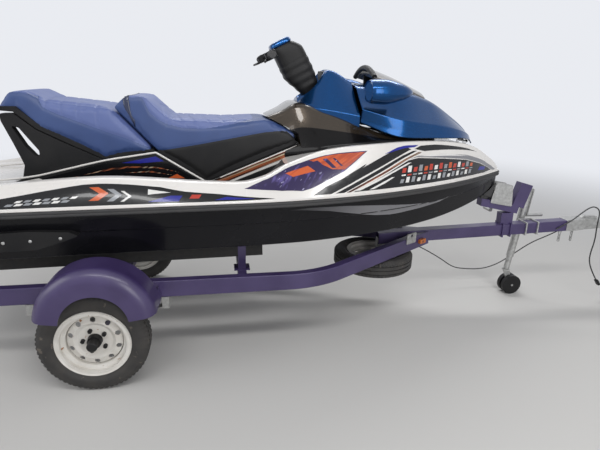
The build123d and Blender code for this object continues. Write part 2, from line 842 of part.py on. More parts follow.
# Jet pump under the stern
PUMP_BORE_R = 78
PUMP_OUTER_R = 92
PUMP_LENGTH = 150
VENTURI_LENGTH = 68
VENTURI_NECK = 40
VENTURI_R = 52
PUMP_WALL = 6
PUMP_FLANGE = 16
FLANGE_LENGTH = 12
HUB_R = 26
BLADE_CLEARANCE = 5
BLADE_COUNT = 4
STATOR_COUNT = 6
STATOR_LENGTH = 50
PIN_R = 8
PUMP_BACK_X = TUNNEL_FRONT_X - PUMP_LENGTH
VENTURI_BACK_X = PUMP_BACK_X - VENTURI_LENGTH
NECK_X = VENTURI_BACK_X + VENTURI_NECK

# Steering nozzle: a bell round the pump's neck, turning on two upright pins
NOZZLE_PIVOT_X = VENTURI_BACK_X - 6
NOZZLE_WALL = 7
# Bell from its front lip to its outlet: distance ahead of the pins, inside radius
NOZZLE_BELL = [(6, 70), (-22, 64), (-92, 40)]
YOKE_WIDTH = 32
YOKE_THICKNESS = 8

# Reverse gate, stowed above the nozzle on pins at the pump's sides
GATE_PIVOT = (VENTURI_BACK_X + 13, JET_Z)
GATE_WALL = 5
GATE_OUT_R = 132
GATE_WIDTH = 190
GATE_ARM = 14
GATE_FROM, GATE_TO = 92, 158
GATE_LUG = 6

with BuildPart() as pump_housing:
    with BuildSketch(jet_side):
        with BuildLine():
            Polyline(
                (TUNNEL_FRONT_X, PUMP_BORE_R), (TUNNEL_FRONT_X, PUMP_OUTER_R + PUMP_FLANGE),
                (TUNNEL_FRONT_X - FLANGE_LENGTH, PUMP_OUTER_R + PUMP_FLANGE),
                (TUNNEL_FRONT_X - FLANGE_LENGTH, PUMP_OUTER_R), (PUMP_BACK_X, PUMP_OUTER_R),
                (NECK_X, VENTURI_R + PUMP_WALL), (VENTURI_BACK_X, VENTURI_R + PUMP_WALL),
                (VENTURI_BACK_X, VENTURI_R), (NECK_X, VENTURI_R), (PUMP_BACK_X, PUMP_BORE_R),
                close=True,
            )
        make_face()
    revolve(axis=jet_axis)
    # Stator vanes and hub behind the impeller
    with BuildSketch(jet.offset(PUMP_BACK_X - STATOR_LENGTH / 2)):
        Circle(HUB_R)
        with PolarLocations((PUMP_BORE_R + HUB_R) / 2, STATOR_COUNT):
            Rectangle(PUMP_BORE_R - HUB_R + 2 * PUMP_WALL, GATE_WALL)
    extrude(amount=STATOR_LENGTH)
    # Yokes above and below the bell, and the pins that the nozzle turns on
    bell_r = NOZZLE_BELL[0][1] + NOZZLE_WALL
    yoke_length = PUMP_BACK_X + FLANGE_LENGTH - NOZZLE_PIVOT_X
    for sign in (-1, 1):
        yoke = craft.offset(JET_Z + sign * (bell_r + CLEARANCE + YOKE_THICKNESS / 2))
        with BuildSketch(yoke):
            with Locations((NOZZLE_PIVOT_X + yoke_length / 2, 0)):
                Rectangle(yoke_length, YOKE_WIDTH)
            with Locations((NOZZLE_PIVOT_X, 0)):
                Circle(YOKE_WIDTH / 2)
        extrude(amount=YOKE_THICKNESS / 2, both=True)
        with BuildSketch(yoke):
            with Locations((NOZZLE_PIVOT_X, 0)):
                Circle(PIN_R)
        extrude(amount=-sign * (CLEARANCE + NOZZLE_WALL + YOKE_THICKNESS / 2))
    # Lugs and pins for the reverse gate
    lug_y = GATE_WIDTH / 2 - CLEARANCE - GATE_LUG / 2
    lug_length = PUMP_BACK_X + FLANGE_LENGTH - GATE_PIVOT[0]
    for sign in (-1, 1):
        lug_plane = side(sign * lug_y)
        with BuildSketch(lug_plane):
            with Locations((GATE_PIVOT[0] + lug_length / 2, JET_Z)):
                Rectangle(lug_length, 2 * GATE_ARM)
            with Locations(GATE_PIVOT):
                Circle(GATE_ARM)
        extrude(amount=GATE_LUG / 2, both=True)
        with BuildSketch(lug_plane):
            with Locations(GATE_PIVOT):
                Circle(PIN_R)
        extrude(amount=-sign * (GATE_LUG / 2 + CLEARANCE + GATE_WALL))

finish(pump_housing, "pump_housing")

BLADE_LENGTH = 60
BLADE_TWIST = 38
BLADE_THICKNESS = 5
IMPELLER_LENGTH = 86
IMPELLER_GAP = 12
IMPELLER_BACK_X = PUMP_BACK_X + STATOR_LENGTH / 2 + IMPELLER_GAP


def blade_slice(reach, angle):
    """Slice of one blade, square to the shaft, turned by the angle."""
    outer = PUMP_BORE_R - BLADE_CLEARANCE
    with BuildSketch(jet.offset(IMPELLER_BACK_X + IMPELLER_GAP + reach * BLADE_LENGTH)) as cut:
        with Locations(Location((0, 0), angle)):
            with Locations(((outer + HUB_R) / 2 - 4, 0)):
                Rectangle(outer - HUB_R + 6, BLADE_THICKNESS)
    return cut.sketch


with BuildPart() as impeller:
    with BuildSketch(jet.offset(IMPELLER_BACK_X)):
        Circle(HUB_R)
    extrude(amount=IMPELLER_LENGTH)
    with BuildSketch(jet.offset(IMPELLER_BACK_X + IMPELLER_LENGTH)):
        Circle(SHAFT_R)
    extrude(amount=SHAFT_FRONT_X - IMPELLER_BACK_X - IMPELLER_LENGTH)
    for blade in range(BLADE_COUNT):
        start = blade * 360 / BLADE_COUNT
        loft([blade_slice(0, start), blade_slice(0.5, start + BLADE_TWIST / 2),
              blade_slice(1, start + BLADE_TWIST)], ruled=True)

finish(impeller, "impeller")

TILLER = (22, 34, 10)
with BuildPart() as nozzle:
    with BuildSketch(jet_side):
        with BuildLine():
            inside = [(NOZZLE_PIVOT_X + x, r) for x, r in NOZZLE_BELL]
            Polyline(*inside, *[(x, r + NOZZLE_WALL) for x, r in reversed(inside)], close=True)
        make_face()
    revolve(axis=jet_axis)
    # Bores for the pins above and below
    with BuildSketch(level(JET_Z)):
        with Locations((NOZZLE_PIVOT_X, 0)):
            Circle(PIN_R + PIN_FIT)
    extrude(amount=GATE_OUT_R, both=True, mode=Mode.SUBTRACT)
    # Tiller arm that the steering cable pushes
    with BuildSketch(level(JET_Z - TILLER[2] / 2)):
        with Locations((NOZZLE_PIVOT_X - 2 * TILLER[0], NOZZLE_BELL[1][1] - 5)):
            RectangleRounded(TILLER[0], TILLER[1], 6)
    extrude(amount=TILLER[2])
    with BuildSketch(jet_side):
        with BuildLine():
            Polyline(*inside, (inside[-1][0], 0), (inside[0][0], 0), close=True)
        make_face()
    revolve(axis=jet_axis, mode=Mode.SUBTRACT)

finish(nozzle, "nozzle")


def gate_arc(radius, start, end):
    """Sector of a ring about the gate's pins, in side view."""
    with BuildSketch() as sector:
        with BuildLine():
            outer = CenterArc(GATE_PIVOT, radius, start, end - start)
            inner = CenterArc(GATE_PIVOT, radius - GATE_WALL, start, end - start)
            Line(outer @ 0, inner @ 0)
            Line(outer @ 1, inner @ 1)
        make_face()
    return sector.sketch


with BuildPart() as reverse_gate:
    with BuildSketch(side()):
        add(gate_arc(GATE_OUT_R, GATE_FROM, GATE_TO))
    extrude(amount=GATE_WIDTH / 2, both=True)
    # Side arms down to the pins
    for sign in (-1, 1):
        with BuildSketch(side(sign * (GATE_WIDTH / 2 + GATE_WALL / 2))):
            with BuildLine():
                arm_edge = CenterArc(GATE_PIVOT, GATE_OUT_R, GATE_FROM, GATE_TO - GATE_FROM)
                Line(arm_edge @ 0, GATE_PIVOT)
                Line(arm_edge @ 1, GATE_PIVOT)
            make_face()
            with Locations(GATE_PIVOT):
                Circle(GATE_ARM)
                Circle(PIN_R + PIN_FIT, mode=Mode.SUBTRACT)
        extrude(amount=GATE_WALL / 2, both=True)

finish(reverse_gate, "reverse_gate")

RIDE_PLATE_THICKNESS = 8
RIDE_PLATE_LENGTH = 296
RIDE_PLATE_GAP = 4
with BuildPart() as ride_plate:
    with BuildSketch(level(-KEEL_DEPTH + RIDE_PLATE_GAP / 2)):
        with Locations((TUNNEL_FRONT_X - RIDE_PLATE_GAP - RIDE_PLATE_LENGTH / 2, 0)):
            RectangleRounded(RIDE_PLATE_LENGTH, TUNNEL_WIDTH - 2 * RIDE_PLATE_GAP, 20)
    extrude(amount=RIDE_PLATE_THICKNESS)

finish(ride_plate, "ride_plate")

GRATE_BARS = 3
GRATE_PITCH = 42
GRATE_BAR = 9
GRATE_FRAME = 11
GRATE_END = 28
GRATE_THICKNESS = 10
intake_length = INTAKE_FRONT_X - TUNNEL_FRONT_X - 4
with BuildPart() as intake_grate:
    with BuildSketch(level(-KEEL_DEPTH + GRATE_THICKNESS)):
        with Locations(((TUNNEL_FRONT_X + INTAKE_FRONT_X) / 2, 0)):
            Rectangle(intake_length, INTAKE_WIDTH - 2)
            Rectangle(intake_length - 2 * GRATE_END, INTAKE_WIDTH - 2 - 2 * GRATE_FRAME, mode=Mode.SUBTRACT)
            with GridLocations(1, GRATE_PITCH, 1, GRATE_BARS):
                Rectangle(intake_length, GRATE_BAR)
    extrude(amount=GRATE_THICKNESS)

finish(intake_grate, "intake_grate")

# Tie-down eyes on the transom
EYE_WIRE = 9
EYE_RING_R = 24
EYE_AT = [(STERN_X, 330, -60), (STERN_X, -330, -60)]
with BuildPart() as tow_eyes:
    for x, y, z in EYE_AT:
        with BuildSketch(side(y)):
            with Locations((x - 4, z)):
                Circle(EYE_RING_R)
                Circle(EYE_RING_R - EYE_WIRE, mode=Mode.SUBTRACT)
        extrude(amount=EYE_WIRE / 2, both=True)
    add(hull.part, mode=Mode.SUBTRACT)
    add(bumper.part, mode=Mode.SUBTRACT)

finish(tow_eyes, "tow_eyes")

# Trailer frame: two side rails that close in on a central tongue, rising to the coupler
RAIL_BACK = (-2112, 449)
RAIL_BEND = (-142, 466)
RAIL_JOIN = (746, 522)
RAIL_BEND_R = 620
RAIL_CORNER_R = 5
TONGUE_SIZE = 78
TONGUE_BACK_X = 370
TONGUE_FRONT_X = 1872
TONGUE_RISE = 2.2
TONGUE_Z = 538
TONGUE_Z_AT = 810

tongue_dir = (cos(radians(TONGUE_RISE)), 0, sin(radians(TONGUE_RISE)))


def tongue_z(x):
    """Height of the tongue's middle at x."""
    return TONGUE_Z + (x - TONGUE_Z_AT) * tan(radians(TONGUE_RISE))


def tongue_section(x):
    """Cross-section plane of the tongue at x: first axis to port, second up."""
    return Plane(origin=(x, 0, tongue_z(x)), x_dir=(0, 1, 0), z_dir=tongue_dir)


def tongue_side(x):
    """Side-view plane with its origin on the tongue's middle line at x."""
    return Plane(origin=(x, 0, tongue_z(x)), x_dir=tongue_dir, z_dir=(0, -1, 0))


with BuildPart() as tongue:
    with BuildSketch(tongue_section(TONGUE_BACK_X)):
        RectangleRounded(TONGUE_SIZE, TONGUE_SIZE, RAIL_CORNER_R)
        Rectangle(TONGUE_SIZE - 2 * TUBE_WALL, TONGUE_SIZE - 2 * TUBE_WALL, mode=Mode.SUBTRACT)
    extrude(amount=(TONGUE_FRONT_X - TONGUE_BACK_X) / cos(radians(TONGUE_RISE)))

finish(tongue, "tongue")


def rail_piece(sign):
    """One side rail: straight past the wheel, bent in to meet the tongue."""
    route = [
        (RAIL_BACK[0], sign * RAIL_Y, RAIL_BACK[1]),
        (RAIL_BEND[0], sign * RAIL_Y, RAIL_BEND[1]),
        (RAIL_JOIN[0], 0, RAIL_JOIN[1]),
    ]
    with BuildPart() as rail:
        with BuildLine() as rail_path:
            FilletPolyline(*route, radius=RAIL_BEND_R)
        start = rail_path.line @ 0
        heading = rail_path.line % 0
        with BuildSketch(Plane(origin=start, x_dir=(0, 1, 0), z_dir=heading)):
            RectangleRounded(RAIL_WIDTH, RAIL_HEIGHT, RAIL_CORNER_R)
        sweep()
        with BuildSketch(tongue_section(RAIL_BEND[0])):
            Rectangle(TONGUE_SIZE, 4 * RAIL_HEIGHT)
        extrude(amount=1200, mode=Mode.SUBTRACT)
    return rail


rail_left = rail_piece(1)
rail_right = rail_piece(-1)
finish(rail_left, "rail_left")
finish(rail_right, "rail_right")


def rail_z(x):
    """Height of a rail's middle along its straight run."""
    slope = (RAIL_BEND[1] - RAIL_BACK[1]) / (RAIL_BEND[0] - RAIL_BACK[0])
    return RAIL_BACK[1] + (x - RAIL_BACK[0]) * slope


# Cross members between the rails: station, tube size
CROSS_MEMBERS = [(-1960, 50), (-560, 50)]
CROSS_INNER = 2 * RAIL_Y - RAIL_WIDTH

with BuildPart() as crossbeams:
    for x, size in CROSS_MEMBERS:
        with BuildSketch(Plane(origin=(x, CROSS_INNER / 2, rail_z(x)), x_dir=(1, 0, 0), z_dir=(0, -1, 0))):
            RectangleRounded(size, size, RAIL_CORNER_R)
        extrude(amount=CROSS_INNER)

finish(crossbeams, "crossbeams")

# Axle, leaf springs, wheels
AXLE_SIZE = 50
SPINDLE_R = 14
SPINDLE_END = 690
SPRING_SPAN = 660
SPRING_WIDTH = 44
LEAF = 6
LEAVES = 3
EYE_R = 14
HUB_FLANGE_R = 74
HUB_FIT = 0.05
AXLE_HALF = 560

with BuildPart() as axle:
    with BuildSketch(Plane(origin=(AXLE_X, 0, TYRE_R), x_dir=(1, 0, 0), z_dir=(0, -1, 0))):
        RectangleRounded(AXLE_SIZE, AXLE_SIZE, RAIL_CORNER_R)
    extrude(amount=AXLE_HALF, both=True)
    with BuildSketch(Plane(origin=(AXLE_X, 0, TYRE_R), x_dir=(1, 0, 0), z_dir=(0, -1, 0))):
        Circle(SPINDLE_R)
    extrude(amount=SPINDLE_END, both=True)

finish(axle, "axle")

SPRING_TOP_Z = TYRE_R + AXLE_SIZE / 2
SPRING_EYE_Z = 362
with BuildPart() as springs:
    for sign in (-1, 1):
        spring_side = Plane(origin=(AXLE_X, sign * RAIL_Y, 0), x_dir=(1, 0, 0), z_dir=(0, -1, 0))
        half_span = SPRING_SPAN / 2
        with BuildSketch(spring_side):
            for leaf in range(LEAVES):
                reach = half_span * (1 - 0.26 * (LEAVES - 1 - leaf))
                low = SPRING_TOP_Z + leaf * LEAF
                rise = (SPRING_EYE_Z - SPRING_TOP_Z - LEAVES * LEAF) * (reach / half_span) ** 2
                with BuildLine():
                    ThreePointArc((-reach, low + rise), (0, low), (reach, low + rise))
                    ThreePointArc((-reach, low + rise + LEAF), (0, low + LEAF), (reach, low + rise + LEAF))
                    Line((-reach, low + rise), (-reach, low + rise + LEAF))
                    Line((reach, low + rise), (reach, low + rise + LEAF))
                make_face()
            with Locations((-half_span, SPRING_EYE_Z), (half_span, SPRING_EYE_Z)):
                Circle(EYE_R)
        extrude(amount=SPRING_WIDTH / 2, both=True)
        # Hanger plates under the rail
        with BuildSketch(spring_side):
            for end in (-half_span, half_span):
                hanger_top = rail_z(AXLE_X + end) - RAIL_HEIGHT / 2
                with Locations((end, (SPRING_EYE_Z - EYE_R + hanger_top) / 2)):
                    Rectangle(36, hanger_top - SPRING_EYE_Z + EYE_R)
        extrude(amount=SPRING_WIDTH / 2 + 6, both=True)
        with BuildSketch(Plane.XY.offset(SPRING_TOP_Z - AXLE_SIZE - 8)):
            with Locations((AXLE_X, sign * RAIL_Y)):
                Rectangle(70, SPRING_WIDTH + 12)
        extrude(amount=8)

    add(rail_left.part, mode=Mode.SUBTRACT)
    add(rail_right.part, mode=Mode.SUBTRACT)
    add(axle.part, mode=Mode.SUBTRACT)

finish(springs, "springs")

# Tyre section: half width and radius from the bead out to the tread
BEAD_R = 160
BEAD_HALF = 42
BEAD_TOP_R = 176
SIDEWALL_R = 214
TREAD_WIDTH = 92
GROOVE = (6, 7)
GROOVE_AT = [-26, 0, 26]


def wheel_side(y):
    """Section plane through a wheel's middle: first axis outwards, second up from the axle."""
    sign = 1 if y > 0 else -1
    return Plane(origin=(AXLE_X, y, TYRE_R), x_dir=(0, sign, 0), z_dir=(sign, 0, 0))


def tyre_at(section_plane, spin_axis):
    """Tyre with rounded sidewalls and three tread grooves."""
    with BuildPart() as tyre:
        with BuildSketch(section_plane):
            with BuildLine():
                half = TYRE_WIDTH / 2
                tread = TREAD_WIDTH / 2
                Line((-BEAD_HALF, BEAD_R), (BEAD_HALF, BEAD_R))
                Line((BEAD_HALF, BEAD_R), (BEAD_HALF, BEAD_TOP_R))
                ThreePointArc((BEAD_HALF, BEAD_TOP_R), (half, SIDEWALL_R), (tread, TYRE_R - 8))
                Line((tread, TYRE_R - 8), (tread - 8, TYRE_R))
                Line((tread - 8, TYRE_R), (8 - tread, TYRE_R))
                Line((8 - tread, TYRE_R), (-tread, TYRE_R - 8))
                ThreePointArc((-tread, TYRE_R - 8), (-half, SIDEWALL_R), (-BEAD_HALF, BEAD_TOP_R))
                Line((-BEAD_HALF, BEAD_TOP_R), (-BEAD_HALF, BEAD_R))
            make_face()
            for groove_y in GROOVE_AT:
                with Locations((groove_y, TYRE_R)):
                    Rectangle(GROOVE[0], 2 * GROOVE[1], mode=Mode.SUBTRACT)
        revolve(axis=spin_axis)
    return tyre


RIM_LIP_R = 174
RIM_WIDTH = 90
RIM_WALL = 3.5
RIM_WELL_R = 140
DISC_AT = 6
DISC_HOLE_R = 13
DISC_HOLE_PCD = 232
DISC_HOLES = 10
LUG_PCD = 114.3
LUG_COUNT = 5
NUT_R = 11
NUT_HEIGHT = 16
HUB_BORE_R = 36


def rim_at(section_plane, spin_axis, disc_plane):
    """Disc with a ring of round holes, then the rim with its lips and well."""
    with BuildPart() as rim:
        with BuildSketch(section_plane):
            with BuildLine():
                weld_r = RIM_WELL_R - RIM_WALL + 1
                Polyline(
                    (-10, weld_r), (DISC_AT, RIM_WELL_R - 10), (DISC_AT + 10, 100),
                    (DISC_AT, 84), (DISC_AT, HUB_BORE_R), (DISC_AT - RIM_WALL, HUB_BORE_R),
                    (DISC_AT - RIM_WALL, 86), (DISC_AT + 5, 101), (DISC_AT - 4, RIM_WELL_R - 14),
                    (-14, weld_r), close=True,
                )
            make_face()
        revolve(axis=spin_axis)
        with BuildSketch(disc_plane.offset(-20)):
            with PolarLocations(DISC_HOLE_PCD / 2, DISC_HOLES):
                Circle(DISC_HOLE_R)
        extrude(amount=60, mode=Mode.SUBTRACT)
        with BuildSketch(section_plane):
            with BuildLine():
                half = RIM_WIDTH / 2
                bead = BEAD_R - 0.5
                lip_foot = BEAD_HALF + 0.5
                Polyline(
                    (half + 6, RIM_LIP_R + 4), (half + 2, RIM_LIP_R + 6), (lip_foot, RIM_LIP_R - 2),
                    (lip_foot, bead), (20, bead), (12, RIM_WELL_R), (-12, RIM_WELL_R), (-20, bead),
                    (-lip_foot, bead), (-lip_foot, RIM_LIP_R - 2), (-half - 2, RIM_LIP_R + 6),
                    (-half - 6, RIM_LIP_R + 4), (-half - 1, RIM_LIP_R - 4), (-half - 1, bead - RIM_WALL),
                    (-24, bead - RIM_WALL), (-16, RIM_WELL_R - RIM_WALL), (16, RIM_WELL_R - RIM_WALL),
                    (24, bead - RIM_WALL), (half + 1, bead - RIM_WALL), (half + 1, RIM_LIP_R - 4),
                    close=True,
                )
            make_face()
        revolve(axis=spin_axis)
    return rim


def hub_at(section_plane, spin_axis, disc_plane):
    """Hub with its flange, stepped grease cap and wheel nuts."""
    with BuildPart() as hub:
        with BuildSketch(section_plane):
            with BuildLine():
                inner = DISC_AT - RIM_WALL
                Polyline(
                    (-70, SPINDLE_R + HUB_FIT), (-70, 34), (inner - 12, 40), (inner - 12, HUB_FLANGE_R),
                    (inner, HUB_FLANGE_R), (inner, HUB_BORE_R - 0.5), (DISC_AT + 4, HUB_BORE_R - 0.5),
                    (DISC_AT + 30, 33), (DISC_AT + 30, 27), (DISC_AT + 70, 25), (DISC_AT + 74, 20),
                    (DISC_AT + 74, 0), (SPINDLE_END - TRACK / 2 + 1, 0),
                    (SPINDLE_END - TRACK / 2 + 1, SPINDLE_R + HUB_FIT), close=True,
                )
            make_face()
        revolve(axis=spin_axis)
        with BuildSketch(disc_plane.offset(DISC_AT)):
            with PolarLocations(LUG_PCD / 2, LUG_COUNT, start_angle=90):
                RegularPolygon(NUT_R, 6)
        extrude(amount=NUT_HEIGHT)
    return hub


for side_name, sign in (("left", 1), ("right", -1)):
    centre = (AXLE_X, sign * TRACK / 2, TYRE_R)
    section = wheel_side(sign * TRACK / 2)
    spin = Axis(origin=centre, direction=(0, 1, 0))
    disc = Plane(origin=centre, x_dir=(0, 0, 1), z_dir=(0, sign, 0))
    finish(tyre_at(section, spin), f"tyre_{side_name}")
    finish(rim_at(section, spin, disc), f"rim_{side_name}")
    finish(hub_at(section, spin, disc), f"hub_{side_name}")

# Fenders: a round-topped arch over each tyre, with a skirt on the outside
FENDER_X = AXLE_X + 33
FENDER_Z = 393
FENDER_R = 284
FENDER_LIP_R = 158
FENDER_IN_GAP = 9
FENDER_OUT_GAP = 54
FENDER_INNER = (TRACK - TYRE_WIDTH) / 2 - FENDER_IN_GAP
FENDER_OUTER = (TRACK + TYRE_WIDTH) / 2 + FENDER_OUT_GAP
FENDER_ROUND = 62
FENDER_WALL = 4
FENDER_START = 8
FENDER_SWEEP = 164
# Share of a radius that a rounded corner reaches at half its turn
HALF_TURN = 0.71
STRAP_WIDTH = 60


with BuildPart() as fenders:
    for sign in (-1, 1):
        hub_point = (FENDER_X, 0, FENDER_Z)
        section_plane = Plane(origin=hub_point, x_dir=(0, sign, 0), z_dir=(0, 0, 1))
        start_plane = Plane(
            origin=hub_point, x_dir=(0, sign, 0),
            z_dir=(sin(radians(FENDER_START)), 0, -cos(radians(FENDER_START))),
        )
        with BuildSketch(start_plane):
            grow = 1 if start_plane.y_dir.X > 0 else -1
            with BuildLine():
                outer_r = FENDER_R
                lip_r = FENDER_LIP_R
                corner = FENDER_ROUND * (1 - HALF_TURN)
                Polyline(
                    (FENDER_OUTER, grow * lip_r), (FENDER_OUTER, grow * (outer_r - FENDER_ROUND)),
                )
                ThreePointArc(
                    (FENDER_OUTER, grow * (outer_r - FENDER_ROUND)),
                    (FENDER_OUTER - corner, grow * (outer_r - corner)),
                    (FENDER_OUTER - FENDER_ROUND, grow * outer_r),
                )
                inner_round = FENDER_ROUND - FENDER_WALL
                Polyline(
                    (FENDER_OUTER - FENDER_ROUND, grow * outer_r), (FENDER_INNER, grow * outer_r),
                    (FENDER_INNER, grow * (outer_r - FENDER_WALL)),
                    (FENDER_OUTER - FENDER_ROUND, grow * (outer_r - FENDER_WALL)),
                )
                ThreePointArc(
                    (FENDER_OUTER - FENDER_ROUND, grow * (outer_r - FENDER_WALL)),
                    (FENDER_OUTER - FENDER_ROUND + inner_round * HALF_TURN,
                     grow * (outer_r - FENDER_ROUND + inner_round * HALF_TURN)),
                    (FENDER_OUTER - FENDER_WALL, grow * (outer_r - FENDER_ROUND)),
                )
                Polyline(
                    (FENDER_OUTER - FENDER_WALL, grow * (outer_r - FENDER_ROUND)),
                    (FENDER_OUTER - FENDER_WALL, grow * lip_r), (FENDER_OUTER, grow * lip_r),
                )
            make_face()
        revolve(axis=Axis(origin=hub_point, direction=(0, -1, 0)), revolution_arc=FENDER_SWEEP)
        # Straps from the rail out to the arch's two ends
        for end_angle in (FENDER_START + 4, FENDER_START + FENDER_SWEEP - 4):
            out = Vector(cos(radians(end_angle)), 0, sin(radians(end_angle)))
            at = Vector(*hub_point) + out * (FENDER_R - FENDER_WALL - 3)
            strap_plane = Plane(
                origin=(at.X, sign * (RAIL_Y + RAIL_WIDTH / 2), at.Z), x_dir=(0, sign, 0), z_dir=out,
            )
            with BuildSketch(strap_plane):
                with Locations(((FENDER_INNER + 40 - RAIL_Y - RAIL_WIDTH / 2) / 2, 0)):
                    Rectangle(FENDER_INNER + 40 - RAIL_Y - RAIL_WIDTH / 2, STRAP_WIDTH)
            extrude(amount=3)

finish(fenders, "fenders")

# Bunks: carpeted boards on edge under the hull, and the posts that carry them
BUNK_Y = 350
BUNK_THICKNESS = 40
BUNK_HEIGHT = 88
BUNK_FRONT_X = -452
BUNK_BACK_X = -2060
BUNK_BEDDING = 12
POST_SIZE = 44
POST_PLATE = 5

hull_at_bunk = -KEEL_DEPTH + (BUNK_Y / (CHINE_WIDTH / 2)) * (KEEL_DEPTH - CHINE_DEPTH)
with BuildPart() as bunks:
    with BuildSketch(level(hull_at_bunk + BUNK_BEDDING - BUNK_HEIGHT)):
        with Locations(((BUNK_FRONT_X + BUNK_BACK_X) / 2, 0)):
            with GridLocations(1, 2 * BUNK_Y, 1, 2):
                Rectangle(BUNK_FRONT_X - BUNK_BACK_X, BUNK_THICKNESS)
    extrude(amount=BUNK_HEIGHT)
    add(hull.part, mode=Mode.SUBTRACT)

finish(bunks, "bunks")

with BuildPart() as bunk_brackets:
    for x, size in CROSS_MEMBERS:
        bunk_under = place(x, 0, hull_at_bunk + BUNK_BEDDING - BUNK_HEIGHT).Z
        foot = rail_z(x) + size / 2
        with BuildSketch(Plane.XY.offset(foot)):
            with Locations((x, 0)):
                with GridLocations(1, 2 * BUNK_Y, 1, 2):
                    Rectangle(POST_SIZE, POST_SIZE)
        extrude(amount=bunk_under - foot + 60)
        with BuildSketch(Plane.XY.offset(foot)):
            with Locations((x, 0)):
                with GridLocations(1, 2 * BUNK_Y, 1, 2):
                    Rectangle(2 * POST_SIZE, 2 * POST_SIZE)
        extrude(amount=POST_PLATE)
    add(bunks.part, mode=Mode.SUBTRACT)
    add(hull.part, mode=Mode.SUBTRACT)

finish(bunk_brackets, "bunk_brackets")

# Lamps: a tail lamp behind each fender on the rail's end, and amber side markers
# Depth, width and height of the lamp, its corner, and how far its back stands ahead of the rail's end
TAIL_LAMP = (60, 150, 90)
TAIL_LAMP_CORNER = 12
TAIL_LAMP_INSET = 30
# Arm from the rail out to the lamp: width, height, reach
LAMP_ARM = (70, 40, 30)
with BuildPart() as tail_lamps:
    for sign in (-1, 1):
        rail_face = RAIL_Y + RAIL_WIDTH / 2
        lamp_z = rail_z(RAIL_BACK[0])
        arm_at = (RAIL_BACK[0] + TAIL_LAMP_INSET + TAIL_LAMP[0] / 2, sign * rail_face, lamp_z)
        with BuildSketch(Plane(origin=arm_at, x_dir=(1, 0, 0), z_dir=(0, sign, 0))):
            Rectangle(LAMP_ARM[0], LAMP_ARM[1])
        extrude(amount=LAMP_ARM[2])
        lens_y = sign * (rail_face + LAMP_ARM[2] + TAIL_LAMP[1] / 2)
        lens_at = (RAIL_BACK[0] + TAIL_LAMP_INSET, lens_y, lamp_z)
        with BuildSketch(Plane(origin=lens_at, x_dir=(0, 1, 0), z_dir=(1, 0, 0))):
            RectangleRounded(TAIL_LAMP[1], TAIL_LAMP[2], TAIL_LAMP_CORNER)
        extrude(amount=TAIL_LAMP[0])

finish(tail_lamps, "tail_lamps")

MARKER_X = 640
MARKER_SIZE = (60, 30, 18)


def rail_spot(x, sign):
    """Middle of a rail ahead of its bend, with the ways along it and out from it."""
    along = Vector(RAIL_JOIN[0] - RAIL_BEND[0], -sign * RAIL_Y, 0).normalized()
    share = (x - RAIL_BEND[0]) / (RAIL_JOIN[0] - RAIL_BEND[0])
    height = RAIL_BEND[1] + share * (RAIL_JOIN[1] - RAIL_BEND[1])
    return Vector(x, sign * RAIL_Y * (1 - share), height), along, Vector(-along.Y, along.X, 0) * sign


with BuildPart() as side_markers:
    for sign in (-1, 1):
        centre, along, outward = rail_spot(MARKER_X, sign)
        with BuildSketch(Plane(origin=centre + outward * (RAIL_WIDTH / 2), x_dir=along, z_dir=outward)):
            RectangleRounded(MARKER_SIZE[0], MARKER_SIZE[1], 6)
        extrude(amount=MARKER_SIZE[2])
    add(rail_left.part, mode=Mode.SUBTRACT)
    add(rail_right.part, mode=Mode.SUBTRACT)

finish(side_markers, "side_markers")

# Upright bracket plates bolted on the rails behind the tongue joint
BRACKET_X = 540
BRACKET_PLATE = (95, 70, 6)
BRACKET_HOLE = 22
with BuildPart() as rail_brackets:
    for sign in (-1, 1):
        centre, along, outward = rail_spot(BRACKET_X, sign)
        plate_middle = centre + outward * (RAIL_WIDTH / 2) + Vector(0, 0, RAIL_HEIGHT / 2)
        with BuildSketch(Plane(origin=plate_middle, x_dir=along, z_dir=outward)):
            RectangleRounded(BRACKET_PLATE[0], BRACKET_PLATE[1], 8)
            with Locations((0, BRACKET_PLATE[1] / 4)):
                Circle(BRACKET_HOLE / 2, mode=Mode.SUBTRACT)
        extrude(amount=BRACKET_PLATE[2])
    add(rail_left.part, mode=Mode.SUBTRACT)
    add(rail_right.part, mode=Mode.SUBTRACT)

finish(rail_brackets, "rail_brackets")

# Winch stand on the tongue: stub, arm back under the bow, and the upright that leans forward
STAND_X = 1306
STUB_SIZE = (92, 60, 84)
ARM_TUBE = 52
ARM_FRONT = (1372, 700)
ARM_BACK = (1088, 761)
UPRIGHT_FOOT = (1372, 722)
UPRIGHT_TOP = (1414, 884)
UPRIGHT_SIZE = 92
UPRIGHT_WIDTH = 60
U_BOLT_R = 5
U_BOLT_SPREAD = 30
stand_side = Plane(origin=(0, 0, 0), x_dir=(1, 0, 0), z_dir=(0, -1, 0))

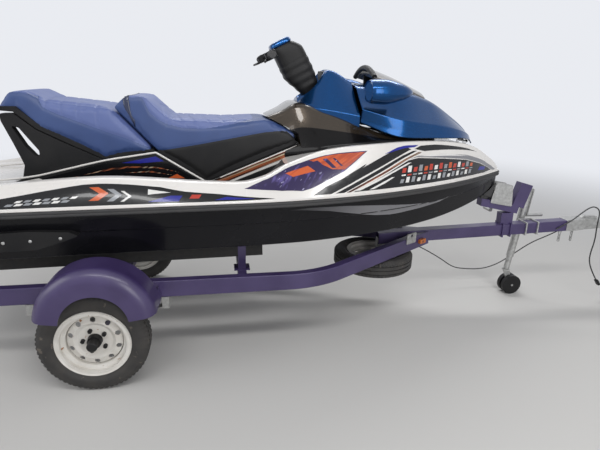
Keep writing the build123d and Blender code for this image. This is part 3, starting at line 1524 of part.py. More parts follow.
with BuildPart() as winch_post:
    with BuildSketch(Plane(origin=(STAND_X, 0, tongue_z(STAND_X) + TONGUE_SIZE / 2),
                           x_dir=tongue_dir, z_dir=(-tongue_dir[2], 0, tongue_dir[0]))):
        RectangleRounded(STUB_SIZE[0], STUB_SIZE[1], 4)
    extrude(amount=STUB_SIZE[2])
    with BuildSketch(stand_side):
        with BuildLine():
            Polyline(
                (ARM_BACK[0], ARM_BACK[1] - ARM_TUBE / 2), (ARM_FRONT[0], ARM_FRONT[1] - ARM_TUBE / 2),
                (ARM_FRONT[0] + 10, ARM_FRONT[1] + ARM_TUBE / 2), (ARM_BACK[0], ARM_BACK[1] + ARM_TUBE / 2),
                close=True,
            )
        make_face()
        with BuildLine():
            lean = Vector(UPRIGHT_TOP[0] - UPRIGHT_FOOT[0], UPRIGHT_TOP[1] - UPRIGHT_FOOT[1], 0).normalized()
            across = Vector(lean.Y, -lean.X, 0) * (UPRIGHT_SIZE / 2)
            foot = Vector(UPRIGHT_FOOT[0], UPRIGHT_FOOT[1], 0)
            top = Vector(UPRIGHT_TOP[0], UPRIGHT_TOP[1], 0)
            Polyline(foot - across, foot + across, top + across, top - across, close=True)
        make_face()
    extrude(amount=UPRIGHT_WIDTH / 2, both=True)
    # U-bolts that clamp the stub to the tongue
    for x in (STAND_X - U_BOLT_SPREAD, STAND_X + U_BOLT_SPREAD):
        with BuildSketch(tongue_section(x).offset(-U_BOLT_R)):
            Rectangle(TONGUE_SIZE + 4 * U_BOLT_R, TONGUE_SIZE + 4 * U_BOLT_R)
            Rectangle(TONGUE_SIZE, TONGUE_SIZE, mode=Mode.SUBTRACT)
        extrude(amount=2 * U_BOLT_R)

    add(tongue.part, mode=Mode.SUBTRACT)

finish(winch_post, "winch_post")

# Winch: two side plates with a drum between them, crank on port
WINCH_PLATE = [((1150, 758), 8), ((1318, 728), 8), ((1300, 880), 20), ((1176, 902), 20)]
WINCH_HALF = 36
WINCH_PLATE_THICKNESS = 4
DRUM = (1236, 822)
DRUM_R = 34
CRANK_LENGTH = 170
CRANK_WIDTH = 20
CRANK_SHAFT = (9, 40)
CRANK_GRIP = (12, 80)
CRANK_THICKNESS = 6

with BuildPart() as winch:
    for sign in (-1, 1):
        with BuildSketch(Plane(origin=(0, sign * WINCH_HALF, 0), x_dir=(1, 0, 0), z_dir=(0, -1, 0))):
            add(rounded_profile(WINCH_PLATE))
        extrude(amount=WINCH_PLATE_THICKNESS / 2, both=True)
    with BuildSketch(stand_side):
        with Locations(DRUM):
            Circle(DRUM_R)
    extrude(amount=WINCH_HALF, both=True)
    with BuildSketch(Plane(origin=(DRUM[0], WINCH_HALF, DRUM[1]), x_dir=(1, 0, 0), z_dir=(0, 1, 0))):
        Circle(CRANK_SHAFT[0])
    extrude(amount=CRANK_SHAFT[1])
    crank_y = WINCH_HALF + CRANK_SHAFT[1] - CRANK_THICKNESS
    with BuildSketch(Plane(origin=(DRUM[0], crank_y, DRUM[1]), x_dir=(0, 0, -1), z_dir=(0, 1, 0))):
        with Locations((CRANK_LENGTH / 2 - CRANK_WIDTH / 2, 0)):
            SlotOverall(CRANK_LENGTH, CRANK_WIDTH)
    extrude(amount=CRANK_THICKNESS)
    grip_plane = Plane(origin=(DRUM[0], crank_y + CRANK_THICKNESS, DRUM[1]), x_dir=(0, 0, -1), z_dir=(0, 1, 0))
    with BuildSketch(grip_plane):
        with Locations((CRANK_LENGTH - CRANK_WIDTH, 0)):
            Circle(CRANK_GRIP[0])
    extrude(amount=CRANK_GRIP[1])
    add(winch_post.part, mode=Mode.SUBTRACT)

finish(winch, "winch")

BOW_STOP = [((1092, 812), 8), ((1150, 800), 8), ((1172, 900), 14), ((1120, 920), 14)]
BOW_STOP_HALF = 34
# Rubber foot under the stop, set on the back end of the arm: distances from that end
STOP_FOOT = [(-8, 29), (24, 9), (62, 39), (12, 69)]
STOP_FOOT_HALF = 20
with BuildPart() as bow_stop:
    with BuildSketch(stand_side):
        add(rounded_profile(BOW_STOP))
    extrude(amount=BOW_STOP_HALF, both=True)
    with BuildSketch(stand_side):
        with BuildLine():
            Polyline(*[(ARM_BACK[0] + x, ARM_BACK[1] + z) for x, z in STOP_FOOT], close=True)
        make_face()
    extrude(amount=STOP_FOOT_HALF, both=True)
    add(hull.part, mode=Mode.SUBTRACT)
    add(bumper.part, mode=Mode.SUBTRACT)
    add(winch_post.part, mode=Mode.SUBTRACT)
    add(winch.part, mode=Mode.SUBTRACT)

finish(bow_stop, "bow_stop")

# Coupler: pressed channel over the tongue's end, ball socket below its nose, latch on top
COUPLER_WALL = 5
BALL_R = 24
# Side view from the tongue's front end: the pressing's nose, the hollow under it and the latch on top
COUPLER_BACK = -90
COUPLER_NOSE = [(60, TONGUE_SIZE / 2 + COUPLER_WALL), (150, 30), (238, 26), (238, -34), (60, -34)]
COUPLER_HOLLOW = [(-1, -34), (-1, 34), (58, 34), (148, 22), (180, 20), (180, -60), (-1, -60)]
COUPLER_LATCH = [(40, 40), (62, 62), (170, 52), (176, 30), (120, 30)]
LATCH_HALF = 14
SOCKET_AT = (206, -34)
SOCKET_DEPTH = 42
# Plan view of the nose: distance ahead and half width
NOSE_PLAN = [(-200, 46), (60, 46), (190, 40)]
NOSE_TIP = 238
coupler_side = tongue_side(TONGUE_FRONT_X)

with BuildPart() as coupler:
    with BuildSketch(coupler_side):
        with BuildLine():
            FilletPolyline(
                (COUPLER_BACK, -TONGUE_SIZE / 2), (COUPLER_BACK, TONGUE_SIZE / 2 + COUPLER_WALL),
                *COUPLER_NOSE, (0, -TONGUE_SIZE / 2), radius=6, close=True,
            )
        make_face()
    extrude(amount=TONGUE_SIZE / 2 + COUPLER_WALL, both=True)
    with BuildSketch(coupler_side):
        Rectangle(200, TONGUE_SIZE, align=(Align.MAX, Align.CENTER))
        with BuildLine():
            Polyline(*COUPLER_HOLLOW, close=True)
        make_face()
    extrude(amount=TONGUE_SIZE / 2, both=True, mode=Mode.SUBTRACT)
    socket = coupler_side.from_local_coords(Vector(*SOCKET_AT, 0))
    with BuildSketch(Plane(origin=socket, x_dir=tongue_dir, z_dir=(-tongue_dir[2], 0, tongue_dir[0]))):
        Circle(BALL_R)
    extrude(amount=SOCKET_DEPTH, mode=Mode.SUBTRACT)
    with BuildSketch(coupler_side):
        with BuildLine():
            FilletPolyline(*COUPLER_LATCH, radius=5, close=True)
        make_face()
    extrude(amount=LATCH_HALF, both=True)
    nose_plane = Plane(origin=coupler_side.from_local_coords(Vector(0, -60, 0)), x_dir=tongue_dir,
                       z_dir=(-tongue_dir[2], 0, tongue_dir[0]))
    with BuildSketch(nose_plane):
        with BuildLine():
            starboard = [(x, -y) for x, y in NOSE_PLAN]
            Polyline(*starboard)
            ThreePointArc(starboard[-1], (NOSE_TIP, 0), NOSE_PLAN[-1])
            Polyline(*reversed(NOSE_PLAN), starboard[0])
        make_face()
    extrude(amount=200, mode=Mode.INTERSECT)

finish(coupler, "coupler")

# Safety chains: a few links from lugs under the tongue
LINK_WIRE = 5
LINK_PLAY = 0.3
LINK_SIZE = (34, 20)
LINK_LUG = (26, 8, 12)
CHAIN_STARTS = [(1752, -24, 3), (1900, 30, 4)]
with BuildPart() as safety_chains:
    for x, y, links in CHAIN_STARTS:
        top_z = tongue_z(x) - TONGUE_SIZE / 2
        for link in range(links):
            drop = top_z - LINK_SIZE[0] / 2 - 4 - link * (LINK_SIZE[0] - 2 * LINK_WIRE - LINK_PLAY)
            across = (1, 0, 0) if link % 2 else (0, 1, 0)
            with BuildSketch(Plane(origin=(x, y, drop), x_dir=(0, 0, 1), z_dir=across)):
                SlotOverall(*LINK_SIZE)
                SlotOverall(LINK_SIZE[0] - 2 * LINK_WIRE, LINK_SIZE[1] - 2 * LINK_WIRE, mode=Mode.SUBTRACT)
            extrude(amount=LINK_WIRE / 2, both=True)
        with BuildSketch(Plane(origin=(x, y, top_z), x_dir=(1, 0, 0), z_dir=(0, 0, -1))):
            Rectangle(LINK_LUG[0], LINK_LUG[1])
        extrude(amount=LINK_LUG[2])
    add(tongue.part, mode=Mode.SUBTRACT)

finish(safety_chains, "safety_chains")

# Swivel jack on the port side of the tongue
JACK_Y = 100
JACK_LEAN = 6
JACK_PIVOT = (1502, 556)
JACK_TOP_Z = 812
JACK_R = 26
JACK_INNER_R = 21
JACK_TUBE_LOW = 300
FORK_TOP_Z = 196
SWIVEL_R = 15
CASTER_R = 74
CASTER_TRAIL = 46
CASTER_WIDTH = 30
CASTER_GAP = 12
AXLE_PIN_R = 8
JACK_CAP = (29, 20)
JACK_SLIDE = 120
SWIVEL_PIN = 40
SWIVEL_PLATE_R = 40
SWIVEL_HUB = (20, 20)
SWIVEL_PLATE = 6
BRACKET_PLATE_SIZE = (110, 120, 8)
BRACKET_BOLT_SPREAD = 45
JACK_CRANK = (210, 22, 6)
JACK_GRIP = (13, 130)

jack_dir = Vector(sin(radians(JACK_LEAN)), 0, cos(radians(JACK_LEAN)))


def jack_plane(z):
    """Cross-section plane of the jack's tube where its middle is at height z."""
    x = JACK_PIVOT[0] + (z - JACK_PIVOT[1]) * tan(radians(JACK_LEAN))
    return Plane(origin=(x, JACK_Y, z), x_dir=(0, -1, 0), z_dir=jack_dir)


with BuildPart() as jack_bracket:
    tongue_face = (JACK_PIVOT[0], TONGUE_SIZE / 2, JACK_PIVOT[1])
    with BuildSketch(Plane(origin=tongue_face, x_dir=(1, 0, 0), z_dir=(0, -1, 0))):
        RectangleRounded(*BRACKET_PLATE_SIZE)
    extrude(amount=-SWIVEL_PLATE)
    for x in (JACK_PIVOT[0] - BRACKET_BOLT_SPREAD, JACK_PIVOT[0] + BRACKET_BOLT_SPREAD):
        with BuildSketch(tongue_section(x).offset(-5)):
            with Locations((-3, 0)):
                Rectangle(TONGUE_SIZE + 14, TONGUE_SIZE + 16)
            Rectangle(TONGUE_SIZE, TONGUE_SIZE, mode=Mode.SUBTRACT)
            with Locations((60, 0)):
                Rectangle(40, 200, mode=Mode.SUBTRACT)
        extrude(amount=10)
    hub_face = (JACK_PIVOT[0], TONGUE_SIZE / 2 + SWIVEL_PLATE, JACK_PIVOT[1])
    with BuildSketch(Plane(origin=hub_face, x_dir=(1, 0, 0), z_dir=(0, 1, 0))):
        Circle(SWIVEL_HUB[0])
    extrude(amount=SWIVEL_HUB[1])

finish(jack_bracket, "jack_bracket")

with BuildPart() as jack:
    with BuildSketch(jack_plane(JACK_TUBE_LOW)):
        Circle(JACK_R)
    extrude(amount=(JACK_TOP_Z - JACK_TUBE_LOW) / cos(radians(JACK_LEAN)))
    with BuildSketch(jack_plane(FORK_TOP_Z + 4)):
        Circle(JACK_INNER_R)
    extrude(amount=JACK_SLIDE)
    with BuildSketch(jack_plane(JACK_TOP_Z - 4)):
        Circle(JACK_CAP[0])
    extrude(amount=JACK_CAP[1])
    # Swivel plate towards the tongue
    swivel_y = TONGUE_SIZE / 2 + SWIVEL_PLATE + SWIVEL_HUB[1] + FACE_GAP
    with BuildSketch(Plane(origin=(JACK_PIVOT[0], swivel_y, JACK_PIVOT[1]), x_dir=(1, 0, 0), z_dir=(0, 1, 0))):
        Circle(SWIVEL_PLATE_R)
    extrude(amount=22)
    # Side-wind crank: stub, hanging arm and grip
    head = jack_plane(JACK_TOP_Z - 6)
    with BuildSketch(Plane(origin=head.origin, x_dir=(0, 1, 0), z_dir=(1, 0, 0))):
        Circle(10)
    extrude(amount=JACK_R + 14)
    arm_top = head.origin + Vector(JACK_R + 10, 0, 0)
    with BuildSketch(Plane(origin=arm_top, x_dir=jack_dir * -1, z_dir=Vector(0, 1, 0).cross(jack_dir))):
        with Locations((JACK_CRANK[0] / 2 - 15, 0)):
            SlotOverall(JACK_CRANK[0], JACK_CRANK[1])
    extrude(amount=JACK_CRANK[2])
    grip_at = arm_top - jack_dir * (JACK_CRANK[0] - 2 * JACK_GRIP[0])
    with BuildSketch(Plane(origin=grip_at, x_dir=(0, 1, 0), z_dir=(1, 0, 0))):
        Circle(JACK_GRIP[0])
    extrude(amount=JACK_GRIP[1])
    # Lower collar that carries the caster's swivel pin
    with BuildSketch(jack_plane(FORK_TOP_Z + 4)):
        Circle(SWIVEL_R + PIN_FIT)
    extrude(amount=SWIVEL_PIN, mode=Mode.SUBTRACT)

finish(jack, "jack")

swivel_base = jack_plane(FORK_TOP_Z)
caster_axle = Vector(swivel_base.origin.X + CASTER_TRAIL, JACK_Y, CASTER_R)

with BuildPart() as caster_fork:
    with BuildSketch(jack_plane(FORK_TOP_Z)):
        Circle(SWIVEL_R)
    extrude(amount=SWIVEL_PIN)
    with BuildSketch(jack_plane(FORK_TOP_Z)):
        Circle(30)
    extrude(amount=-8)
    with BuildSketch(Plane(origin=(0, JACK_Y, 0), x_dir=(1, 0, 0), z_dir=(0, -1, 0))):
        with BuildLine():
            Polyline(
                (swivel_base.origin.X - 26, FORK_TOP_Z - 4), (swivel_base.origin.X + 28, FORK_TOP_Z - 10),
                (caster_axle.X + 16, CASTER_R), (caster_axle.X, CASTER_R - 16), (caster_axle.X - 16, CASTER_R),
                close=True,
            )
        make_face()
    extrude(amount=CASTER_GAP / 2, both=True)
    with BuildSketch(Plane(origin=caster_axle, x_dir=(1, 0, 0), z_dir=(0, -1, 0))):
        Circle(AXLE_PIN_R)
    extrude(amount=CASTER_GAP / 2 + CASTER_WIDTH + 8, both=True)

finish(caster_fork, "caster_fork")

with BuildPart() as caster_wheels:
    for sign in (-1, 1):
        with BuildSketch(Plane(origin=caster_axle + Vector(0, sign * (CASTER_GAP / 2 + CLEARANCE - 2), 0),
                               x_dir=(1, 0, 0), z_dir=(0, sign, 0))):
            Circle(CASTER_R)
            Circle(AXLE_PIN_R + PIN_FIT, mode=Mode.SUBTRACT)
        extrude(amount=CASTER_WIDTH)

finish(caster_wheels, "caster_wheels")

# Spare wheel flat under the tongue's rear end
SPARE_X = 350
SPARE_Z = 382
CARRIER_R = 80
CARRIER_POST = (60, 44)
CARRIER_PLATE = 6
spare_section = Plane(origin=(SPARE_X, 0, SPARE_Z), x_dir=(0, 0, 1), z_dir=(0, 1, 0))
spare_spin = Axis(origin=(SPARE_X, 0, SPARE_Z), direction=(0, 0, 1))
spare_disc = Plane(origin=(SPARE_X, 0, SPARE_Z), x_dir=(1, 0, 0), z_dir=(0, 0, 1))
finish(tyre_at(spare_section, spare_spin), "spare_tyre")
finish(rim_at(spare_section, spare_spin, spare_disc), "spare_rim")

with BuildPart() as spare_carrier:
    plate_z = SPARE_Z + DISC_AT
    with BuildSketch(Plane.XY.offset(plate_z)):
        with Locations((SPARE_X, 0)):
            Circle(CARRIER_R)
    extrude(amount=CARRIER_PLATE)
    with BuildSketch(Plane.XY.offset(plate_z)):
        with Locations((TONGUE_BACK_X + CARRIER_POST[0] / 2, 0)):
            Rectangle(*CARRIER_POST)
    extrude(amount=tongue_z(TONGUE_BACK_X) - plate_z)
    # Studs and nuts that hold the spare
    with BuildSketch(Plane.XY.offset(plate_z + CARRIER_PLATE)):
        with Locations((SPARE_X, 0)):
            with PolarLocations(LUG_PCD / 2, LUG_COUNT, start_angle=180):
                RegularPolygon(NUT_R, 6)
    extrude(amount=NUT_HEIGHT - 2)
    add(tongue.part, mode=Mode.SUBTRACT)

finish(spare_carrier, "spare_carrier")

# Wiring: the free cords hang on their own and are no part of the frame's measurements
WIRE_R = 4
LEAD_R = 4.5
WIRE_ROUTE = [
    (250, 283, 438), (620, 250, 418), (805, 250, 346), (991, 250, 240), (1093, 250, 168),
    (1173, 250, 144), (1356, 250, 131), (1489, 250, 169), (1600, 240, 250), (1680, 160, 380),
    (1750, 70, 470), (1800, 20, 532),
]
LEAD_ROUTE = [
    (1700, -44, 556), (1794, -51, 609), (1861, -54, 667), (1915, -56, 711), (1960, -60, 725),
    (2001, -74, 694), (1984, -90, 594), (1998, -90, 479), (1985, -90, 371), (1993, -90, 307),
    (2040, -90, 224), (2092, -90, 157),
]
ROUND_SHARE = 0.45
PLUG_SIZE = (30, 18, 46)


def cord_radii(route):
    """Bend radius at each inner corner, from the shorter run and the turn there."""
    radii = []
    for before, at, after in zip(route, route[1:], route[2:]):
        into = Vector(*at) - Vector(*before)
        out = Vector(*after) - Vector(*at)
        turn = radians(into.get_angle(out))
        radii.append(round(ROUND_SHARE * min(into.length, out.length) / tan(turn / 2), 1))
    return radii


def cord_tube(route, radius):
    """Round cord along a route of straight runs and bends."""
    radii = cord_radii(route)
    print("bend radii", radii)
    with BuildPart() as tube:
        with BuildLine() as run:
            FilletPolyline(*route, radius=radii)
        with BuildSketch(Plane(origin=run.line @ 0, z_dir=run.line % 0)):
            Circle(radius)
        sweep()
    return tube


wire = cord_tube(WIRE_ROUTE, WIRE_R)
finish(wire, "wire")
lead = cord_tube(LEAD_ROUTE, LEAD_R)
finish(lead, "lead")

with BuildPart() as plug:
    end = Vector(*LEAD_ROUTE[-1])
    heading = (end - Vector(*LEAD_ROUTE[-2])).normalized()
    with BuildSketch(Plane(origin=end, x_dir=(0, 1, 0), z_dir=heading)):
        RectangleRounded(PLUG_SIZE[0], PLUG_SIZE[1], 4)
    extrude(amount=PLUG_SIZE[2])

finish(plug, "plug")
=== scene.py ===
# %% [markdown]
# # A personal watercraft on its trailer
# A jet-driven craft for three riders rests on a small road trailer. Its solids were made first and packed as a
# frame: named nodes in metres, each riding on a body that can move. Shapes could be matched to their joints by
# eye, but it is surer to work every mesh out in the frame's own axes: +X to the bow and the coupler, +Y to
# port, +Z up, the floor at zero. The trailer's plain parts keep the solids' meshes and only take a finish.

# %% Load the frame and measure the solids
from math import cos, pi, radians, sin

import bmesh
import bpy
import numpy as np
from mathutils import Matrix, Vector


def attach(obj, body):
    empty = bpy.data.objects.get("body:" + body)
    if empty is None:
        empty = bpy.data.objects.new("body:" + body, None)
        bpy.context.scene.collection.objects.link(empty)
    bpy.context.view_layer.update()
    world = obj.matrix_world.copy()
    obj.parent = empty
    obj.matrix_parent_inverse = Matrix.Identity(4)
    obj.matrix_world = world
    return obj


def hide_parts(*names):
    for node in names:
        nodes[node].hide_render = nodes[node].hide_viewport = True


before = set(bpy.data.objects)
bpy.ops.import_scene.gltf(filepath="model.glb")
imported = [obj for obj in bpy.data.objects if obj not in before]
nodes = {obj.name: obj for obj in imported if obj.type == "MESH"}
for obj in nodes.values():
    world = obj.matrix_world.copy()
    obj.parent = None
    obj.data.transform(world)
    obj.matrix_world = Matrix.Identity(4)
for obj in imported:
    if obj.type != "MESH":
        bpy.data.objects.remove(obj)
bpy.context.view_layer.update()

scene = bpy.context.scene
MM = 0.001

# %% [markdown]
# ## Camera
# The photograph was taken near the craft's starboard quarter with a wide lens. A camera could be nudged by eye,
# but a small error bends every line of so long an object. So place, turns and focal length were fitted to the
# wheels' rims, the tongue and the craft's edges. Blender's camera looks down its own -Z with +Y up.

# %% Place the camera
EYE = Vector((-0.666, -2.76, 1.53))  # metres
LOOK_DOWN, TURN, LEAN = radians(17.98), radians(10.3), radians(1.8)
FOCAL_PIXELS, FILM_PIXELS, SENSOR = 451.4, 600, 36.0  # the sensor's width in millimetres
SEES_TO = 100  # metres

# Forward is the port direction turned by TURN to the bow and tipped down by LOOK_DOWN. Level right and level
# up stand square to it, and LEAN turns the two about it.
forward = Vector((sin(TURN) * cos(LOOK_DOWN), cos(TURN) * cos(LOOK_DOWN), -sin(LOOK_DOWN)))
level_right = Vector((cos(TURN), -sin(TURN), 0))
level_up = level_right.cross(forward)
right = level_right * cos(LEAN) + level_up * sin(LEAN)
up = level_up * cos(LEAN) - level_right * sin(LEAN)

camera = bpy.data.objects.new("camera", bpy.data.cameras.new("camera"))
camera.data.sensor_width = SENSOR
camera.data.lens = FOCAL_PIXELS / FILM_PIXELS * SENSOR
camera.data.clip_end = SEES_TO
camera.matrix_world = Matrix.Translation(EYE) @ Matrix((right, up, -forward)).transposed().to_4x4()
scene.collection.objects.link(camera)
scene.camera = camera
print("lens", round(camera.data.lens, 2), "mm")

# %% [markdown]
# ## Objects and materials
# Blender keeps data, such as a mesh, apart from the object that puts it somewhere. Objects could be moved into
# place, but here each stays at the origin and its shape is computed where it belongs, so that texture
# coordinates mean the same on all. A material is a graph of nodes round one Principled shader. A few helpers
# make both.

# %% Helpers for objects and materials
def link(name, data):
    """A new object at the origin, unturned and unscaled, in the scene."""
    obj = bpy.data.objects.new(name, data)
    scene.collection.objects.link(obj)
    return obj


def material(name, color=(0.8, 0.8, 0.8), roughness=0.5, metallic=0.0, **sockets):
    """A Principled material; sockets are its other inputs, with _ for a space."""
    made = bpy.data.materials.new(name)
    made.use_nodes = True
    shader = made.node_tree.nodes["Principled BSDF"]
    shader.inputs["Base Color"].default_value = (*color, 1)
    shader.inputs["Roughness"].default_value = roughness
    shader.inputs["Metallic"].default_value = metallic
    for key, value in sockets.items():
        shader.inputs[key.replace("_", " ")].default_value = value
    return made


def add(tree, kind, **values):
    """A new shader node. A value whose name starts with a capital is an input's, with _ for a space; the
    others are the node's own settings."""
    node = tree.nodes.new("ShaderNode" + kind)
    for key, value in values.items():
        if key[0].isupper():
            node.inputs[key.replace("_", " ")].default_value = value
        else:
            setattr(node, key, value)
    return node


def wire_up(tree, *links):
    """Links each (node, output, node, input); sockets are given by name or number."""
    for source, out, target, into in links:
        tree.links.new(source.outputs[out], target.inputs[into])


def corner_rows(*pairs):
    """Section corners as an array (stations, corners, 2); each pair holds y and z at every station."""
    return np.stack([np.stack(pair, -1) for pair in pairs], axis=1)


def numbers_of(items, what):
    """The triples of one kind, such as "co" or "normal", of all of a mesh's items as an array."""
    found = np.empty(len(items) * 3)
    items.foreach_get(what, found)
    return found.reshape(-1, 3)


def tell(obj):
    """Prints a piece's name and its number of faces."""
    print(obj.name, len(obj.data.polygons), "faces")

# %% [markdown]
# ## Floor
# The object stands on a plain pale floor. A sheet curved up behind it would do as well, but it shows its edge
# from other sides. A very large square shows none.

# %% Lay the floor
FLOOR_HALF = 30.0  # metres
floor_mesh = bpy.data.meshes.new("floor")
floor_corners = [(-FLOOR_HALF, -FLOOR_HALF, 0), (FLOOR_HALF, -FLOOR_HALF, 0),
    (FLOOR_HALF, FLOOR_HALF, 0), (-FLOOR_HALF, FLOOR_HALF, 0)]
floor_mesh.from_pydata(floor_corners, [], [(0, 1, 2, 3)])
floor = link("floor", floor_mesh)
floor_pale = material("floor_pale", (0.62, 0.61, 0.59), 0.8)
floor_mesh.materials.append(floor_pale)
print("floor", 2 * FLOOR_HALF, "m square")

# %% [markdown]
# ## Surround
# Most of the light on a glossy hull comes from all round it. A picture of a room could give it, but no image
# files are used, so the world is plain white: bright for the camera and for reflections, dimmer as a light, so
# that the shadows under the trailer stay.

# %% Light from all round
SKY_AS_LIGHT, SKY_AS_SEEN, SKY_WHITE = 0.36, 0.88, (0.93, 0.95, 1.0, 1)
world = bpy.data.worlds.new("surround")
world.use_nodes = True
scene.world = world
sky = world.node_tree
sky.nodes.clear()
surround = add(sky, "Background", Color=SKY_WHITE)
paths = add(sky, "LightPath")
seen = add(sky, "Math", operation="ADD")
seen_or_through = add(sky, "Math", operation="ADD", use_clamp=True)
strength = add(sky, "MapRange", To_Min=SKY_AS_LIGHT, To_Max=SKY_AS_SEEN)
world_out = add(sky, "OutputWorld")
wire_up(sky, (paths, "Is Camera Ray", seen, 0), (paths, "Is Glossy Ray", seen, 1), (seen, 0, seen_or_through, 0),
    (paths, "Is Transmission Ray", seen_or_through, 1), (seen_or_through, 0, strength, "Value"),
    (strength, "Result", surround, "Strength"), (surround, 0, world_out, 0))
print("surround", SKY_AS_LIGHT, "as light,", SKY_AS_SEEN, "as seen")

# %% [markdown]
# ## Where the floor ends
# A studio floor melts into its backdrop. Mist could do it. Here the floor's shader turns, with distance, from a
# lit surface into the surround's white, but only for the camera and for reflections, so that it still sends
# light up.

# %% Fade the floor into the surround
FADE_FROM, FADE_TO = 2.2, 8.5  # metres from the middle
floor_tree = floor_pale.node_tree
glow = add(floor_tree, "Emission", Color=SKY_WHITE, Strength=SKY_AS_SEEN)
spot = add(floor_tree, "TexCoord")
far_out = add(floor_tree, "VectorMath", operation="LENGTH")
fade = add(floor_tree, "MapRange", interpolation_type="SMOOTHSTEP", From_Min=FADE_FROM, From_Max=FADE_TO)
floor_paths = add(floor_tree, "LightPath")
watched = add(floor_tree, "Math", operation="ADD", use_clamp=True)
shown = add(floor_tree, "Math", operation="MULTIPLY")
lit_or_glow = add(floor_tree, "MixShader")
wire_up(floor_tree, (spot, "Object", far_out, 0), (far_out, "Value", fade, "Value"),
    (floor_paths, "Is Camera Ray", watched, 0), (floor_paths, "Is Glossy Ray", watched, 1),
    (fade, "Result", shown, 0), (watched, 0, shown, 1), (shown, 0, lit_or_glow, 0),
    (floor_tree.nodes["Principled BSDF"], 0, lit_or_glow, 1), (glow, 0, lit_or_glow, 2),
    (lit_or_glow, 0, floor_tree.nodes["Material Output"], 0))
print("floor fades from", FADE_FROM, "to", FADE_TO, "m")

# %% [markdown]
# ## Lamps
# The long bright lines on the hood and the cowl are lights overhead, mirrored in the gloss. Point lights would
# leave dots there, so two lamps are long narrow strips. Two broad panels fill the side and the stern. The view
# transform is the plain one, so that colours come out as they are written.

# %% Hang the lamps
# name, place, what it looks at, width, length, power in watts. The lamp's -Z is turned to its target
LAMPS = [
    ("strip_near", (-0.4, -2.6, 3.6), (-0.2, 0, 0.9), 0.35, 4.2, 64),
    ("strip_far", (0.6, 1.8, 3.7), (0.2, 0, 0.9), 0.35, 4.2, 64),
    ("side_fill", (1.6, -5.2, 2.0), (0, 0, 0.7), 3.0, 2.0, 84),
    ("rear_fill", (-5.0, -1.5, 2.6), (-1, 0, 0.8), 2.4, 2.4, 50),
]
for name, place_at, target, width, length, power in LAMPS:
    lamp_data = bpy.data.lights.new(name, "AREA")
    lamp_data.shape = "RECTANGLE"
    lamp_data.size, lamp_data.size_y, lamp_data.energy = length, width, power
    lamp = link(name, lamp_data)
    aim = Vector(target) - Vector(place_at)
    lamp.matrix_world = Matrix.Translation(place_at) @ aim.to_track_quat("-Z", "Y").to_matrix().to_4x4()

scene.view_settings.view_transform = "Standard"
print(len(LAMPS), "lamps")

# %% [markdown]
# ## Cords
# Two cables belong to the trailer: a wire that sags behind the jack, and the lead from the coupler to its plug.
# They could be simulated, but their lines can be read off the photograph. Each is a NURBS curve, which bends as
# softly as a cable, with a round bevel for its thickness.

# %% Where the cords run
WIRE_ROUTE = [
    (0.250, 0.283, 0.438), (0.620, 0.250, 0.418), (0.805, 0.250, 0.346), (0.991, 0.250, 0.240),
    (1.093, 0.250, 0.168), (1.173, 0.250, 0.144), (1.356, 0.250, 0.131), (1.489, 0.250, 0.169),
    (1.600, 0.240, 0.250), (1.680, 0.160, 0.380), (1.750, 0.070, 0.470), (1.800, 0.020, 0.532),
]
LEAD_ROUTE = [
    (1.700, -0.044, 0.556), (1.794, -0.051, 0.609), (1.861, -0.054, 0.667), (1.915, -0.056, 0.711),
    (1.960, -0.060, 0.725), (2.001, -0.074, 0.694), (1.984, -0.090, 0.594), (1.998, -0.090, 0.479),
    (1.985, -0.090, 0.371), (1.993, -0.090, 0.307), (2.040, -0.090, 0.224), (2.092, -0.090, 0.157),
]

# %% A maker for cords
cord_skin = material("cord_skin", (0.018, 0.018, 0.02), 0.55, Coat_Weight=0.2)
WIRE_RADIUS, LEAD_RADIUS = 0.004, 0.0045
CURVE_ORDER, STEPS_PER_POINT, BEVEL_STEPS = 3, 16, 4


def cord(name, route, radius):
    """A cord on a smooth NURBS line; the length that the line has, the sum of the distances between its evaluated
    points, is printed."""
    curve = bpy.data.curves.new(name, "CURVE")
    curve.dimensions = "3D"
    spline = curve.splines.new("NURBS")
    spline.points.add(len(route) - 1)
    for point, at in zip(spline.points, route):
        point.co = (*at, 1)
    spline.order_u = CURVE_ORDER
    spline.use_endpoint_u = True
    curve.resolution_u = STEPS_PER_POINT
    line = link(name, curve)
    bpy.context.view_layer.update()
    run = bpy.data.meshes.new_from_object(line)
    length = np.linalg.norm(np.diff(numbers_of(run.vertices, "co"), axis=0), axis=1).sum()
    bpy.data.meshes.remove(run)
    curve.bevel_depth, curve.bevel_resolution, curve.use_fill_caps = radius, BEVEL_STEPS, True
    curve.materials.append(cord_skin)
    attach(line, "trailer")
    print(name, round(float(length), 3), "m long")
    return line

# %% Hang the wire and the lead
wire = cord("wire_run", WIRE_ROUTE, WIRE_RADIUS)
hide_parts("wire")
lead = cord("lead_run", LEAD_ROUTE, LEAD_RADIUS)
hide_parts("lead")

# %% [markdown]
# ## Craft axes
# The craft lies on its bunks with its bow a little up. Its pieces could be drawn level and then tilted, but
# objects stay unturned here. So the shapes are worked out in the craft's own axes, in millimetres from the sheer
# line, the widest line round the hull, and one function turns every point to the floor's axes.

# %% From craft millimetres to metres
PITCH, SHEER_Z = radians(1.4), 951.0  # bow up; millimetres above the floor


def place(local):
    """Craft millimetres to metres above the floor: turned by PITCH about Y and lifted by SHEER_Z."""
    x, y, z = np.moveaxis(np.asarray(local, float), -1, 0)
    turned = [x * cos(PITCH) - z * sin(PITCH), y, SHEER_Z + x * sin(PITCH) + z * cos(PITCH)]
    return np.stack(turned, -1) * MM

# %% [markdown]
# ## Curves through stations
# A boat builder's plan gives a hull by its section at a few stations. Spline surfaces could join these, but they
# are hard to cut. Plain arrays do it here: smooth curves through a table of a few rows make a hundred sections,
# whose corners are rounded and which get their starboard half.

